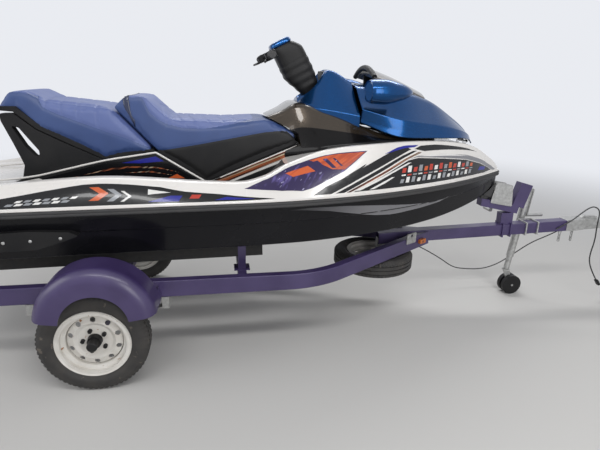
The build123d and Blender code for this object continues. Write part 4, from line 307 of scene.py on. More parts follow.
# %% Smooth curves through a table
def through(table, at):
    """Rows of a station table at new stations, on cubics whose slope at a row is the harmonic mean of
    the slopes beside it and nought at a peak, so that the curve never overshoots."""
    table, at = np.asarray(table, float), np.asarray(at, float)
    x, rows = table[:, 0], table[:, 1:]
    step = np.diff(x)[:, None]
    slope = np.diff(rows, axis=0) / step
    a, b = slope[:-1], slope[1:]
    total = np.where(np.abs(a + b) < 1e-12, 1, a + b)
    inner = np.where(a * b > 0, 2 * a * b / total, 0)
    tangent = np.vstack([slope[:1], inner, slope[-1:]])
    i = np.clip(np.searchsorted(x, at) - 1, 0, len(x) - 2)
    h = step[i]
    t = (at[:, None] - x[i, None]) / h
    return ((2 * t**3 - 3 * t**2 + 1) * rows[i] + (t**3 - 2 * t**2 + t) * h * tangent[i]
        + (3 * t**2 - 2 * t**3) * rows[i + 1] + (t**3 - t**2) * h * tangent[i + 1])

# %% Rounded, mirrored and placed sections
MOST_OF_SIDE = 0.45  # an arc takes no more than this share of a side


def rounded(corners, radius, steps=6):
    """Open corner lines (rows, corners, 2), each inner corner turned into a quadratic arc: it starts
    radius away from the corner, or at MOST_OF_SIDE of the shorter side, and weighs start, corner and end by
    (1 - t) squared, 2 t (1 - t) and t squared."""
    corners = np.asarray(corners, float)
    side = np.diff(corners, axis=1)
    length = np.linalg.norm(side, axis=-1, keepdims=True)
    way = side / np.maximum(length, 1e-9)
    wanted = np.broadcast_to(radius, (corners.shape[1] - 2,))[None, :, None]
    reach = np.minimum(wanted, MOST_OF_SIDE * np.minimum(length[:, :-1], length[:, 1:]))
    at = corners[:, 1:-1]
    start, end = at - way[:, :-1] * reach, at + way[:, 1:] * reach
    t = np.linspace(0, 1, steps)[:, None]
    arcs = ((1 - t)**2 * start[:, :, None] + 2 * t * (1 - t) * at[:, :, None] + t**2 * end[:, :, None])
    return np.concatenate([corners[:, :1], arcs.reshape(len(corners), -1, 2), corners[:, -1:]], axis=1)


def whole(half):
    """A half section from the middle out to port and back to the middle, closed with its starboard copy."""
    mirrored = half[:, -2:0:-1] * [-1, 1]
    return np.concatenate([half, mirrored], axis=1)


def at_stations(x, sections):
    """Sections (rows, columns, 2) of y and z, set at their stations, as craft points."""
    stations = np.broadcast_to(np.asarray(x)[:, None, None], (*sections.shape[:2], 1))
    return np.concatenate([stations, sections], -1)

# %% [markdown]
# ## From grids to meshes
# Most pieces are moulded shells, and a shell is a grid of points with rows along it and columns round it. It
# could be sculpted, with less control over sizes. One helper turns a computed array into quads, another merges
# doubled points, points the faces outwards and keeps the creases sharp.

# %% A mesh from a grid of points
def grid(name, points, skins, body="trailer", round_way=False, around=False, caps=False, slots=None, crease=35):
    """Mesh of a (rows, columns, 3) array in metres. around joins the last column to the first, round_way
    the last row to the first, caps closes the end rows, slots picks a material for each column of quads."""
    points = np.asarray(points, float)
    rows, columns = points.shape[:2]
    index = np.arange(rows * columns).reshape(rows, columns)
    if around:
        index = np.concatenate([index, index[:, :1]], axis=1)
    if round_way:
        index = np.concatenate([index, index[:1]], axis=0)
    quads = np.stack([index[:-1, :-1], index[1:, :-1], index[1:, 1:], index[:-1, 1:]], -1)
    mesh = bpy.data.meshes.new(name)
    faces = quads.reshape(-1, 4).tolist()
    if caps:
        faces += [index[0, :columns].tolist()[::-1], index[-1, :columns].tolist()]
    mesh.from_pydata(points.reshape(-1, 3), [], faces)
    if slots is not None:
        chosen = np.broadcast_to(np.asarray(slots), quads.shape[:2]).reshape(-1)
        chosen = np.concatenate([chosen, np.zeros(len(faces) - len(chosen), int)])
        mesh.polygons.foreach_set("material_index", chosen.astype(np.int32))
    for skin in skins:
        mesh.materials.append(skin)
    tidy(mesh, around or caps, crease)
    obj = link(name, mesh)
    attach(obj, body)
    return obj


MERGE_WITHIN = 2e-6  # metres


def tidy(mesh, closed, crease=35):
    """Merges doubled points, points a closed mesh's faces outwards and marks as sharp each edge whose faces
    meet at more than the crease's degrees."""
    work = bmesh.new()
    work.from_mesh(mesh)
    bmesh.ops.remove_doubles(work, verts=work.verts, dist=MERGE_WITHIN)
    if closed:
        bmesh.ops.recalc_face_normals(work, faces=work.faces)
    work.to_mesh(mesh)
    work.free()
    mesh.shade_smooth()
    mesh.set_sharp_from_angle(angle=radians(crease))

# %% [markdown]
# ## Plates and bars
# What isn't a shell is mostly a plate cut to an outline or a round bar bent along a line. A plate could be put
# together from quads; a filled outline that is extruded needs only the side view and takes holes as well. A bar
# could be a bevelled curve, but rings of points give a mesh, which can be merged and cut.

# %% A plate from its outline
def slab(name, outline, y_from, y_to, skins, body="trailer", holes=(), bevel=0.0, crease=30):
    """A plate cut to a side-view outline of (x, z) points, with holes, from one y to another: the outline is
    filled with triangles, its flat faces are joined and drawn out sideways."""
    work = bmesh.new()
    edges = []
    for loop in [outline, *holes]:
        loop = np.asarray(loop, float)
        flat = np.stack([loop[:, 0], np.full(len(loop), float(y_from)), loop[:, 1]], -1)
        corners = [work.verts.new(at) for at in place(flat)]
        edges += [work.edges.new(pair) for pair in zip(corners, corners[1:] + corners[:1])]
    bmesh.ops.triangle_fill(work, edges=edges, use_beauty=True)
    bmesh.ops.dissolve_limit(work, angle_limit=0.01, verts=work.verts, edges=work.edges)
    drawn = bmesh.ops.extrude_face_region(work, geom=work.faces[:])
    moved = [v for v in drawn["geom"] if isinstance(v, bmesh.types.BMVert)]
    shift = Vector(place([0, y_to, 0]) - place([0, y_from, 0]))
    bmesh.ops.translate(work, vec=shift, verts=moved)
    bmesh.ops.recalc_face_normals(work, faces=work.faces)
    mesh = bpy.data.meshes.new(name)
    work.to_mesh(mesh)
    work.free()
    for skin in skins:
        mesh.materials.append(skin)
    obj = link(name, mesh)
    mesh.shade_smooth()
    mesh.set_sharp_from_angle(angle=radians(crease))
    if bevel:
        soft = obj.modifiers.new("edge", "BEVEL")
        soft.width, soft.segments = bevel, 3
        soft.limit_method, soft.angle_limit = "ANGLE", radians(30)
    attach(obj, body)
    return obj

# %% A bar along its route
FIXED_SIDE = [0.13, 0.31, 0.94]  # along no bar's own way


def tube(name, route, radius, skins, body="trailer", sides=16):
    """A round bar along route (points, 3) in metres; radius may change along it. Each ring stands square to
    the route, and is spun from two directions: the way's cross product with a fixed side, so that one ring
    doesn't twist against the next, and the cross product of these two."""
    route = np.asarray(route, float)
    along = np.gradient(route, axis=0)
    along /= np.linalg.norm(along, axis=1, keepdims=True)
    aside = np.cross(along, FIXED_SIDE)
    aside /= np.linalg.norm(aside, axis=1, keepdims=True)
    over = np.cross(along, aside)
    turn = np.linspace(0, 2 * pi, sides, endpoint=False)[None, :, None]
    radius = np.broadcast_to(radius, len(route))[:, None, None]
    ring = route[:, None] + radius * (np.cos(turn) * aside[:, None] + np.sin(turn) * over[:, None])
    return grid(name, ring, skins, body, around=True, caps=True, crease=50)


def bent(corners, radius, steps=8):
    """A corner line in space whose corners are rounded by the same arcs that rounded() draws in a plane."""
    corners = np.asarray(corners, float)
    side = np.diff(corners, axis=0)
    length = np.linalg.norm(side, axis=1, keepdims=True)
    way = side / length
    reach = np.minimum(radius, MOST_OF_SIDE * np.minimum(length[:-1], length[1:]))
    start, end = corners[1:-1] - way[:-1] * reach, corners[1:-1] + way[1:] * reach
    t = np.linspace(0, 1, steps)[:, None]
    arcs = (1 - t)**2 * start[:, None] + 2 * t * (1 - t) * corners[1:-1, None] + t**2 * end[:, None]
    return np.concatenate([corners[:1], arcs.reshape(-1, 3), corners[-1:]])

# %% [markdown]
# ## Shared shader effects
# No painted or moulded surface is even: colour and gloss drift, rubber has a grain, old paint is chipped.
# Pictures could show this, but they need unwrapped surfaces. Three node groups make it from noise in Object
# coordinates, which are metres here, so that an effect has one size on every piece.

# %% An empty node group
def effect(name, inputs, outputs):
    """An empty node group with float inputs (name, default) and outputs (name, kind)."""
    group = bpy.data.node_groups.new(name, "ShaderNodeTree")
    for label, default in inputs:
        socket = group.interface.new_socket(label, in_out="INPUT", socket_type="NodeSocketFloat")
        socket.default_value = default
    for label, kind in outputs:
        group.interface.new_socket(label, in_out="OUTPUT", socket_type=kind)
    return group, group.nodes.new("NodeGroupInput"), group.nodes.new("NodeGroupOutput")

# %% Mottle
# Mottle: one slow noise, whose middle values from 0.32 to 0.68 are stretched to run from 0 to 1
mottle, taken, given = effect("mottle", [("Scale", 8.0), ("Detail", 4.0)], [("Mask", "NodeSocketFloat")])
here = add(mottle, "TexCoord")
broad = add(mottle, "TexNoise")
spread = add(mottle, "MapRange", From_Min=0.32, From_Max=0.68)
wire_up(mottle, (here, "Object", broad, "Vector"), (taken, "Scale", broad, "Scale"),
    (taken, "Detail", broad, "Detail"), (broad, "Fac", spread, "Value"), (spread, "Result", given, "Mask"))

# %% Grain
# Grain: a fine noise taken as a height, which tips the surface's normal by its slope
grain, taken, given = effect("grain", [("Scale", 400.0), ("Strength", 0.15), ("Depth", 0.0004)],
    [("Normal", "NodeSocketVector")])
here = add(grain, "TexCoord")
fine = add(grain, "TexNoise", Detail=3.0)
raised = add(grain, "Bump")
wire_up(grain, (here, "Object", fine, "Vector"), (taken, "Scale", fine, "Scale"), (fine, "Fac", raised, "Height"),
    (taken, "Strength", raised, "Strength"), (taken, "Depth", raised, "Distance"),
    (raised, "Normal", given, "Normal"))

# %% Chips
# Chips: nought below the threshold of a rough noise, one above threshold plus softness, so that few spots
# with ragged edges are left
chips, taken, given = effect("chips", [("Scale", 30.0), ("Threshold", 0.66), ("Softness", 0.02)],
    [("Mask", "NodeSocketFloat")])
here = add(chips, "TexCoord")
ragged = add(chips, "TexNoise", Detail=8.0, Roughness=0.62)
top_of = add(chips, "Math", operation="ADD")
cut = add(chips, "MapRange")
wire_up(chips, (here, "Object", ragged, "Vector"), (taken, "Scale", ragged, "Scale"),
    (taken, "Threshold", top_of, 0), (taken, "Softness", top_of, 1), (ragged, "Fac", cut, "Value"),
    (taken, "Threshold", cut, "From Min"), (top_of, 0, cut, "From Max"), (cut, "Result", given, "Mask"))
print("effects", [group.name for group in bpy.data.node_groups])

# %% [markdown]
# ## From effects to a finish
# A finish varies a little in colour and roughness; one flat colour looks like fresh plastic. Nodes could be
# placed one by one in each material, but a function does it for all, so that a finish is one line with two near
# colours, a gloss, a grain and wear.

# %% A maker for finishes
def mixed(tree, mask, first, second):
    """Colour that turns from first to second with the mask; each is a colour or an output socket."""
    mix = add(tree, "Mix", data_type="RGBA")
    tree.links.new(mask, mix.inputs["Factor"])
    for socket, value in ((mix.inputs[6], first), (mix.inputs[7], second)):
        if isinstance(value, bpy.types.NodeSocket):
            tree.links.new(value, socket)
        else:
            socket.default_value = (*value, 1)
    return mix.outputs[2]


def finish_of(name, colors, roughness, scale=6.0, grain_scale=0.0, grain_depth=0.0003, metallic=0.0,
        chip=None, **sockets):
    """A finished material: two near colours mottled together, gloss that varies with them, an optional
    grain, and optional chips given as (colour, scale, threshold, roughness)."""
    made = material(name, colors[0], roughness[0], metallic, **sockets)
    tree = made.node_tree
    shader = tree.nodes["Principled BSDF"]
    patches = add(tree, "Group", node_tree=mottle, Scale=scale, Detail=5.0)
    color = mixed(tree, patches.outputs["Mask"], colors[0], colors[1])
    gloss = add(tree, "MapRange", To_Min=roughness[0], To_Max=roughness[1])
    wire_up(tree, (patches, "Mask", gloss, "Value"), (gloss, "Result", shader, "Roughness"))
    if chip:
        chip_color, chip_scale, threshold, chip_rough = chip
        spots = add(tree, "Group", node_tree=chips, Scale=chip_scale, Threshold=threshold)
        color = mixed(tree, spots.outputs["Mask"], color, chip_color)
        duller = add(tree, "Mix")
        duller.inputs[3].default_value = chip_rough
        wire_up(tree, (spots, "Mask", duller, "Factor"), (gloss, "Result", duller, 2),
            (duller, 0, shader, "Roughness"))
    tree.links.new(color, shader.inputs["Base Color"])
    if grain_scale:
        bumps = add(tree, "Group", node_tree=grain, Scale=grain_scale, Strength=0.5, Depth=grain_depth)
        wire_up(tree, (bumps, "Normal", shader, "Normal"))
    return made

# %% [markdown]
# ## Finishes of the craft
# Gelcoat is a coloured resin polished to a gloss, so it gets a clear coat. The hood's blue and the cowl's
# bronze are lacquers with flakes of metal: a dark metallic base, mottled at a very small scale. Colours could
# be sampled from the photograph, but its light is in them, so they were set one by one. The blacks differ most
# in gloss.

# %% Gelcoats, lacquers and blacks
hull_black = finish_of("hull_black", [(0.005, 0.005, 0.007), (0.009, 0.009, 0.011)], (0.18, 0.30), 3.0,
    Specular_IOR_Level=0.15, Coat_Weight=0.15, Coat_Roughness=0.08)
gel_white = finish_of("gel_white", [(0.75, 0.725, 0.695), (0.69, 0.665, 0.635)], (0.22, 0.34), 4.0,
    Coat_Weight=0.5, Coat_Roughness=0.06)
metal_blue = finish_of("metal_blue", [(0.0015, 0.044, 0.150), (0.003, 0.062, 0.205)], (0.20, 0.28), 300.0,
    metallic=0.8, Specular_IOR_Level=0.2, Coat_Weight=0.35, Coat_Roughness=0.03)
bronze_black = finish_of("bronze_black", [(0.040, 0.030, 0.021), (0.060, 0.045, 0.030)], (0.20, 0.28), 300.0,
    metallic=0.6, Specular_IOR_Level=0.3, Coat_Weight=0.6, Coat_Roughness=0.04)
# A near-black copy of the cowl's paint, for its foot and hollow: painted shade under the shoulder
cowl_shade_black = finish_of("cowl_shade_black", [(0.004, 0.004, 0.004), (0.007, 0.006, 0.006)], (0.18, 0.26), 6.0,
    Specular_IOR_Level=0.12, Coat_Weight=0.15, Coat_Roughness=0.05)
satin_black = finish_of("satin_black", [(0.010, 0.010, 0.011), (0.018, 0.0175, 0.0175)], (0.40, 0.52), 7.0,
    grain_scale=900.0, grain_depth=0.0002, Specular_IOR_Level=0.22)
rubber = finish_of("rubber", [(0.030, 0.030, 0.032), (0.045, 0.044, 0.044)], (0.55, 0.7), 12.0,
    grain_scale=700.0)
mirror_face = finish_of("mirror_face", [(0.78, 0.79, 0.80), (0.74, 0.75, 0.77)], (0.02, 0.05), 8.0, metallic=1.0)
mat_black = finish_of("mat_black", [(0.020, 0.020, 0.021), (0.034, 0.034, 0.034)], (0.75, 0.9), 20.0,
    grain_scale=160.0, grain_depth=0.0012)
print("craft's finishes", [made.name for made in bpy.data.materials])

# %% [markdown]
# ## Finishes of the trailer and the jet
# The trailer is older than its load: purple paint chipped to the primer, dull blotched zinc, rust spots on
# white wheels, dusty tyres, fibrous carpet. Chips and rust could be modelled, but at this size they only change
# colour and gloss, so the chips effect makes them.

# %% Paint, zinc, cast metal, carpet and lenses
tyre_black = finish_of("tyre_black", [(0.022, 0.021, 0.021), (0.050, 0.046, 0.042)], (0.62, 0.82), 14.0,
    grain_scale=500.0, chip=((0.11, 0.095, 0.08), 22.0, 0.63, 0.9))
purple = finish_of("purple", [(0.040, 0.026, 0.092), (0.062, 0.044, 0.130)], (0.34, 0.55), 5.0,
    chip=((0.20, 0.13, 0.085), 26.0, 0.695, 0.75), Coat_Weight=0.25, Coat_Roughness=0.2)
zinc = finish_of("zinc", [(0.34, 0.34, 0.33), (0.50, 0.50, 0.49)], (0.38, 0.58), 55.0, metallic=0.75,
    chip=((0.22, 0.15, 0.10), 24.0, 0.68, 0.8), grain_scale=260.0, grain_depth=0.0003)
wheel_paint = finish_of("wheel_paint", [(0.72, 0.70, 0.66), (0.62, 0.59, 0.54)], (0.36, 0.55), 12.0,
    chip=((0.30, 0.14, 0.06), 30.0, 0.66, 0.8))
cast_metal = finish_of("cast_metal", [(0.42, 0.42, 0.43), (0.54, 0.54, 0.54)], (0.34, 0.5), 30.0,
    metallic=0.9, grain_scale=600.0)
bright_metal = finish_of("bright_metal", [(0.60, 0.60, 0.60), (0.70, 0.70, 0.70)], (0.14, 0.24), 20.0,
    metallic=1.0)
carpet = finish_of("carpet", [(0.016, 0.016, 0.016), (0.034, 0.032, 0.030)], (0.85, 0.97), 40.0,
    grain_scale=340.0, grain_depth=0.0016, Sheen_Weight=0.4)
lens_red = finish_of("lens_red", [(0.42, 0.012, 0.012), (0.34, 0.010, 0.010)], (0.12, 0.2), 60.0,
    Coat_Weight=0.6)
lens_amber = finish_of("lens_amber", [(0.62, 0.17, 0.02), (0.36, 0.10, 0.03)], (0.2, 0.4), 40.0,
    chip=((0.16, 0.06, 0.03), 40.0, 0.58, 0.7))
print("finishes", len(bpy.data.materials))

# %% [markdown]
# ## Pieces that keep the solids' meshes
# Beams, brackets, springs, rims and the jet's castings are plain shapes whose edges are already rounded in the
# solids. Modelling them again would only risk moving them, so they keep their meshes and take a finish.

# %% Give the kept pieces their finishes
KEPT = {
    purple: ["tongue", "rail_left", "rail_right", "crossbeams", "axle", "fenders", "bunk_brackets", "winch_post"],
    zinc: ["springs", "winch", "coupler", "safety_chains", "jack_bracket", "jack", "caster_fork",
        "spare_carrier", "rail_brackets"],
    wheel_paint: ["rim_left", "rim_right", "spare_rim"],
    satin_black: ["hub_left", "hub_right", "storage_bin", "gauges", "reverse_gate", "caster_wheels", "plug"],
    cast_metal: ["engine", "pump_housing", "nozzle", "ride_plate", "intake_grate"],
    bright_metal: ["impeller", "tow_eyes", "hood_hinge"],
    carpet: ["bunks"],
    lens_red: ["tail_lamps"],
    lens_amber: ["side_markers"],
    rubber: ["bow_stop"],
}
for skin, names in KEPT.items():
    for name in names:
        node = nodes[name].data
        node.materials.clear()
        node.materials.append(skin)
print(sum(len(names) for names in KEPT.values()), "pieces kept")

# %% [markdown]
# ## Tyres
# A tyre is one section turned round its axle: bead, sidewall, shoulder, and a tread with three grooves. A torus
# could be displaced by a picture of a tread, but its grooves would be soft. Here the section carries them, and
# the radius dips for a short share of every pitch, which cuts blocks without a boolean.

# %% One tyre from its section
# Half section as (across, radius) in millimetres, from the bead out to the middle of the tread
TYRE_HALF = [(42, 160), (42, 176), (50, 186), (54.5, 193), (55.5, 195), (57.8, 198), (60.3, 206), (61, 214),
    (60.4, 226), (57.6, 236), (57.4, 239), (55, 243), (50.5, 252), (46, 257), (38, 264.5), (29, 265),
    (28.9, 258), (23.1, 258), (23, 265), (12, 265), (3, 265), (2.9, 258)]
TREAD_BLOCKS, STEPS_PER_BLOCK, SLOT_DEPTH = 64, 5, 4.0
SHOULDER_FROM, SHOULDER_TO, SHOULDER_RADIUS = 28.95, 52, 250


def tyre(name, centre, spin, body):
    """A section (across, radius) turned round the centre; spin is "Y" for a road wheel and "Z" for the
    spare. Shoulder points dip by SLOT_DEPTH in two of the steps of each block."""
    half = np.array(TYRE_HALF, float)
    section = np.concatenate([half, half[::-1] * [-1, 1]])
    turn = np.linspace(0, 2 * pi, TREAD_BLOCKS * STEPS_PER_BLOCK, endpoint=False)
    slot = np.isin(np.arange(len(turn)) % STEPS_PER_BLOCK, (0, 1))[:, None]
    off_middle = np.abs(section[:, 0])
    shoulder = (off_middle > SHOULDER_FROM) & (off_middle < SHOULDER_TO) & (section[:, 1] > SHOULDER_RADIUS)
    r = section[None, :, 1] - SLOT_DEPTH * slot * shoulder[None]
    ahead, across = r * np.sin(turn)[:, None], np.broadcast_to(section[:, 0], r.shape)
    aloft = r * np.cos(turn)[:, None]
    points = np.stack([ahead, across, aloft] if spin == "Y" else [ahead, aloft, across], -1) * MM + centre
    return grid(name, points, [tyre_black], body, around=True, round_way=True, crease=32)

# %% Two road tyres and a spare
AXLE_X, TRACK_HALF, TYRE_RADIUS, SPARE_AT = -1.3, 0.66, 0.265, (0.35, 0, 0.382)
for side, y in (("left", TRACK_HALF), ("right", -TRACK_HALF)):
    road = tyre(f"road_tyre_{side}", (AXLE_X, y, TYRE_RADIUS), "Y", f"wheel_{side}")
    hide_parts(f"tyre_{side}")
spare = tyre("spare_tyre_tread", SPARE_AT, "Z", "trailer")
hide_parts("spare_tyre")
tell(spare)

# %% [markdown]
# ## Sheer line
# Hull and deck are two mouldings that meet in a flange all round. Drawn by themselves they would leave gaps
# there. So both start from one line, the craft seen from above at its widest: straight sides, a slight
# narrowing to the transom with rounded corners, and two arcs that meet in a small circle at the bow.

# %% The sheer line and bands round it
BEAM_HALF, TRANSOM_HALF, STERN_X, BEAM_START_X, BOW_ARC_X = 610.0, 560.0, -2100.0, -1750.0, -550.0
BOW_RADIUS, STERN_CORNER, TIP_X, TIP_R = 2838.0, 90.0, 1134.3, 45.0
TIP_FROM = TIP_X + 27.1  # here the bow's arc runs into the tip's circle


def sheer_half(x):
    """Half width of the sheer line at x: a line that narrows to the stern, a quarter circle at its corner,
    straight sides, an arc to the bow and a small circle at the tip."""
    x = np.asarray(x, float)
    run = np.maximum(0, x - BOW_ARC_X)
    arc = BEAM_HALF - BOW_RADIUS + np.sqrt(BOW_RADIUS**2 - run**2)
    tip = np.sqrt(np.maximum(0, TIP_R**2 - np.clip(x - TIP_X, 0, TIP_R)**2))
    narrowing = (BEAM_HALF - TRANSOM_HALF) * np.maximum(0, BEAM_START_X - x) / (BEAM_START_X - STERN_X)
    into = np.clip(STERN_X + STERN_CORNER - x, 0, STERN_CORNER)
    corner = STERN_CORNER - np.sqrt(STERN_CORNER**2 - into**2)
    return np.where(x > TIP_FROM, tip, arc) - narrowing - corner


def sheer_ring(count=150):
    """The closed line round the craft, with its outward normals: cosine-spaced stations on port, the
    transom's end row, and the starboard copy."""
    turn = np.linspace(0, pi, count)
    x = (STERN_X + TIP_X + TIP_R) / 2 - (TIP_X + TIP_R - STERN_X) / 2 * np.cos(turn)
    y = sheer_half(x)
    y[-1] = 0
    port = np.stack([x, y], -1)
    ring = np.concatenate([port, port[-2::-1] * [1, -1]])
    along = np.roll(ring, -1, 0) - np.roll(ring, 1, 0)
    normal = np.stack([-along[:, 1], along[:, 0]], -1)
    return ring, normal / np.linalg.norm(normal, axis=1, keepdims=True)


def band(name, section, skins):
    """A moulding round the sheer line; section is a closed line of (outwards, up). Each point of the line
    is moved along its normal by the section's first number and up by its second."""
    line, normal = sheer_ring()
    section = np.asarray(section, float)
    xy = line[:, None] + section[None, :, :1] * normal[:, None]
    z = np.broadcast_to(section[None, :, 1:], (*xy.shape[:2], 1))
    return grid(name, place(np.concatenate([xy, z], -1)), skins, around=True, round_way=True, crease=30)


print("sheer line", len(sheer_ring()[0]), "points")

# %% [markdown]
# ## Hull
# The hull is a shallow V with a strake on each side, a sharp chine and a flared flank with a crease. It could be
# carved from a block, but its lines have to run fair from stern to bow. So half sections are computed at close
# stations, and their corners are rounded before they are joined.

# %% Hull sections
# station, keel's depth, chine's half width, chine's depth
HULL = [
    (-2100, 385, 505, 256), (-600, 385, 505, 256), (-300, 385, 492, 256), (0, 384, 455, 252),
    (300, 379, 392, 243), (560, 351, 315, 224), (780, 300, 235, 192), (960, 238, 160, 150),
    (1090, 178, 95, 108), (1165, 118, 45, 66), (1181, 96, 18, 50),
]


INSIDE_SHEER, STRAKE_AT, STRAKE_BACK, STRAKE_STEP = 9, 0.42, 0.484, 0.48
CHINE_AT, CREASE_OUT, CREASE_UP, CREASE_SLANT = 0.93, 0.52, 0.48, (7, 4)
LIP_OUTER, LIP_INNER, LIP_WIDTH, BEAM = -16, -12, 14, 610


def hull_rows(x):
    """Half sections: keel, strake, chine, a crease along the flared side, and the lip under the bumper. The
    bottom rises in a straight line from the keel; its points lie at shares of the chine's half width. The
    crease lies at a share of the way from the chine to the outer edge."""
    depth, chine, chine_depth = through(HULL, x).T
    outer = sheer_half(x) - INSIDE_SHEER
    chine = np.minimum(chine, np.maximum(outer - 4, outer * 0.9))
    rise = depth - chine_depth
    bottom = lambda t: (t * chine, -depth + t * rise)
    crease = chine + (outer - chine) * CREASE_OUT, -chine_depth * CREASE_UP
    points = [(0 * x, -depth), bottom(STRAKE_AT), (STRAKE_STEP * chine, bottom(STRAKE_AT)[1]),
        bottom(STRAKE_BACK), bottom(CHINE_AT), (chine, bottom(CHINE_AT)[1]), crease,
        (crease[0] + CREASE_SLANT[0], crease[1] + CREASE_SLANT[1]), (outer, LIP_OUTER + 0 * x),
        (outer - LIP_WIDTH * outer / BEAM, LIP_INNER + 0 * x), (0 * x, LIP_INNER + 0 * x)]
    return corner_rows(*points)


STEM_X = 1179
hull_x = np.concatenate([np.linspace(STERN_X + 2, -620, 60), np.linspace(-600, 1080, 90),
    STEM_X - 99 * np.linspace(1, 0, 24)[1:]**2])
HULL_CORNERS = [9, 5, 5, 6, 12, 14, 14, 10, 3]  # how far each inner corner's arc reaches
hull_half = rounded(hull_rows(hull_x), np.array(HULL_CORNERS, float), 5)
hull_half[-1, :, 0] *= 0.4  # the last section closes the stem
hull = grid("hull_shell", place(at_stations(hull_x, whole(hull_half))), [hull_black], around=True,
    caps=True, crease=28)

# %% [markdown]
# ## Openings
# The jet pump stands in a tunnel in the stern and draws its water through an intake. Such openings could be left
# out of the grid, but their edges would have to follow its lines. A boolean takes a simple cutter's volume from
# the finished mesh instead, wherever its edges fall.

# %% Cutters
def block(corner, far):
    """A plain box between two craft points, to cut with: each corner takes its numbers from one or the other."""
    low, high = np.asarray(corner, float), np.asarray(far, float)
    pick = np.array([[0, 0, 0], [1, 0, 0], [1, 1, 0], [0, 1, 0], [0, 0, 1], [1, 0, 1], [1, 1, 1], [0, 1, 1]])
    mesh = bpy.data.meshes.new("cutter")
    faces = [(0, 3, 2, 1), (4, 5, 6, 7), (0, 1, 5, 4), (1, 2, 6, 5), (2, 3, 7, 6), (3, 0, 4, 7)]
    mesh.from_pydata(place(low + pick * (high - low)), [], faces)
    return link("cutter", mesh)


def prism(outline, low, high):
    """A prism over an anticlockwise plan outline of (x, y) points between two heights, to cut with."""
    ring, count = np.array(outline, float), len(outline)
    levels = [np.c_[ring, np.full(count, height)] for height in (low, high)]
    sides = [(i, (i + 1) % count, count + (i + 1) % count, count + i) for i in range(count)]
    ends = [tuple(range(count))[::-1], tuple(range(count, 2 * count))]
    mesh = bpy.data.meshes.new("cutter")
    mesh.from_pydata(place(np.concatenate(levels)), [], ends + sides)
    return link("cutter", mesh)


CUT_CREASE = 28


def cut_out(target, tools):
    """Takes the tools' volume from target's mesh and removes the tools."""
    for tool in tools:
        cutting = target.modifiers.new("cut", "BOOLEAN")
        cutting.operation, cutting.object, cutting.solver = "DIFFERENCE", tool, "EXACT"
    bpy.context.view_layer.update()
    done = bpy.data.meshes.new_from_object(target.evaluated_get(bpy.context.evaluated_depsgraph_get()))
    target.modifiers.clear()
    target.data = done
    for tool in tools:
        bpy.data.objects.remove(tool)
    tidy(done, True, CUT_CREASE)
    tell(target)

# %% Cut the jet's tunnel and its intake
INTAKE = [(-1781, -182), (-1690, -182), (-1230, -360), (-1230, -405), (-1781, -405)]
INTAKE_HALF = 85
TUNNEL = [(-2140, -150, -420), (-1780, 150, -120)]
intake = slab("intake", INTAKE, -INTAKE_HALF, INTAKE_HALF, [])
cut_out(hull, [block(*TUNNEL), intake])
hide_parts("hull")

# %% [markdown]
# ## Bumper
# A rubber moulding with two lips covers the flange and takes the knocks of a jetty. A bevelled curve would do,
# but its section turns as it bends; carrying it along the sheer line's own normals keeps the lips level. The
# white line above it is the deck's edge, rolled over it.

# %% Run the bumper round the craft
# Section as (outwards, up) from the sheer line, in millimetres
BUMPER_SECTION = [(-14, -29), (5, -29.5), (9, -27), (11.5, -23), (11.5, -17), (9, -14.5), (9, -12), (11.8, -9),
    (11.8, -3), (9.5, -0.6), (-14, -0.6)]
bumper = band("bumper_band", BUMPER_SECTION, [rubber])
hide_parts("bumper")
tell(bumper)

# %% [markdown]
# ## Deck
# The deck is the white upper moulding: up from the flange over a rounded gunwale, down into the footwells with
# their black mats, and flat to the middle ahead of them. Patches could be joined, but one skin of sections has no
# joints to hide. A slight bulge on its side keeps the gloss moving.

# %% The deck's side
# station, crest half width, crest height, floor height
DECK = [
    (-2090, 466, 62, 56), (-1745, 500, 101, 56), (-1700, 503, 105, 10), (-1230, 515, 132, 10),
    (-760, 516, 96, 10), (-560, 508, 84, 10), (-440, 482, 106, 34), (-312, 444, 164, 160), (-100, 427, 228, 226),
    (120, 412, 248, 246), (336, 375, 254, 252), (571, 292, 244, 242), (800, 190, 214, 212),
    (932, 122, 176, 174), (1060, 56, 110, 108), (1140, 24, 58, 56), (1176, 6, 26, 24),
]
SIDE_BULGE, FULL_BULGE_SIDE = 7.0, 150  # less bulge where the side is narrower than this
SIDE_IN, SIDE_FROM, SIDE_TO_CREST = 4, 10, (6, 8)


def deck_edges(x):
    """Lower and upper ends of the deck's side at x, as (y, z) pairs."""
    crest, height = through(DECK, x)[:, :2].T
    outer = sheer_half(x)
    crest = np.minimum(crest, np.maximum(outer - 10, 0.6 * outer))
    return (np.stack([outer - SIDE_IN, SIDE_FROM + 0 * x], -1),
        np.stack([crest + SIDE_TO_CREST[0], height - SIDE_TO_CREST[1]], -1))


def deck_side(x, t):
    """A point of the port side at station x and share t of the way up: straight from the lower edge to the
    upper, moved outwards by SIDE_BULGE times the sine of t half turns."""
    x, t = np.asarray(x, float), np.asarray(t, float)
    flat = x.reshape(-1)
    low, high = deck_edges(flat)
    low, high = low.reshape(*x.shape, 2), high.reshape(*x.shape, 2)
    run = high - low
    length = np.maximum(np.linalg.norm(run, axis=-1, keepdims=True), 1e-6)
    out = np.stack([run[..., 1], -run[..., 0]], -1) / length
    bulge = SIDE_BULGE * np.sin(pi * np.clip(t, 0, 1)) * np.clip(length[..., 0] / FULL_BULGE_SIDE, 0, 1)
    yz = low + t[..., None] * run + bulge[..., None] * out
    return np.concatenate([x[..., None], yz], -1)

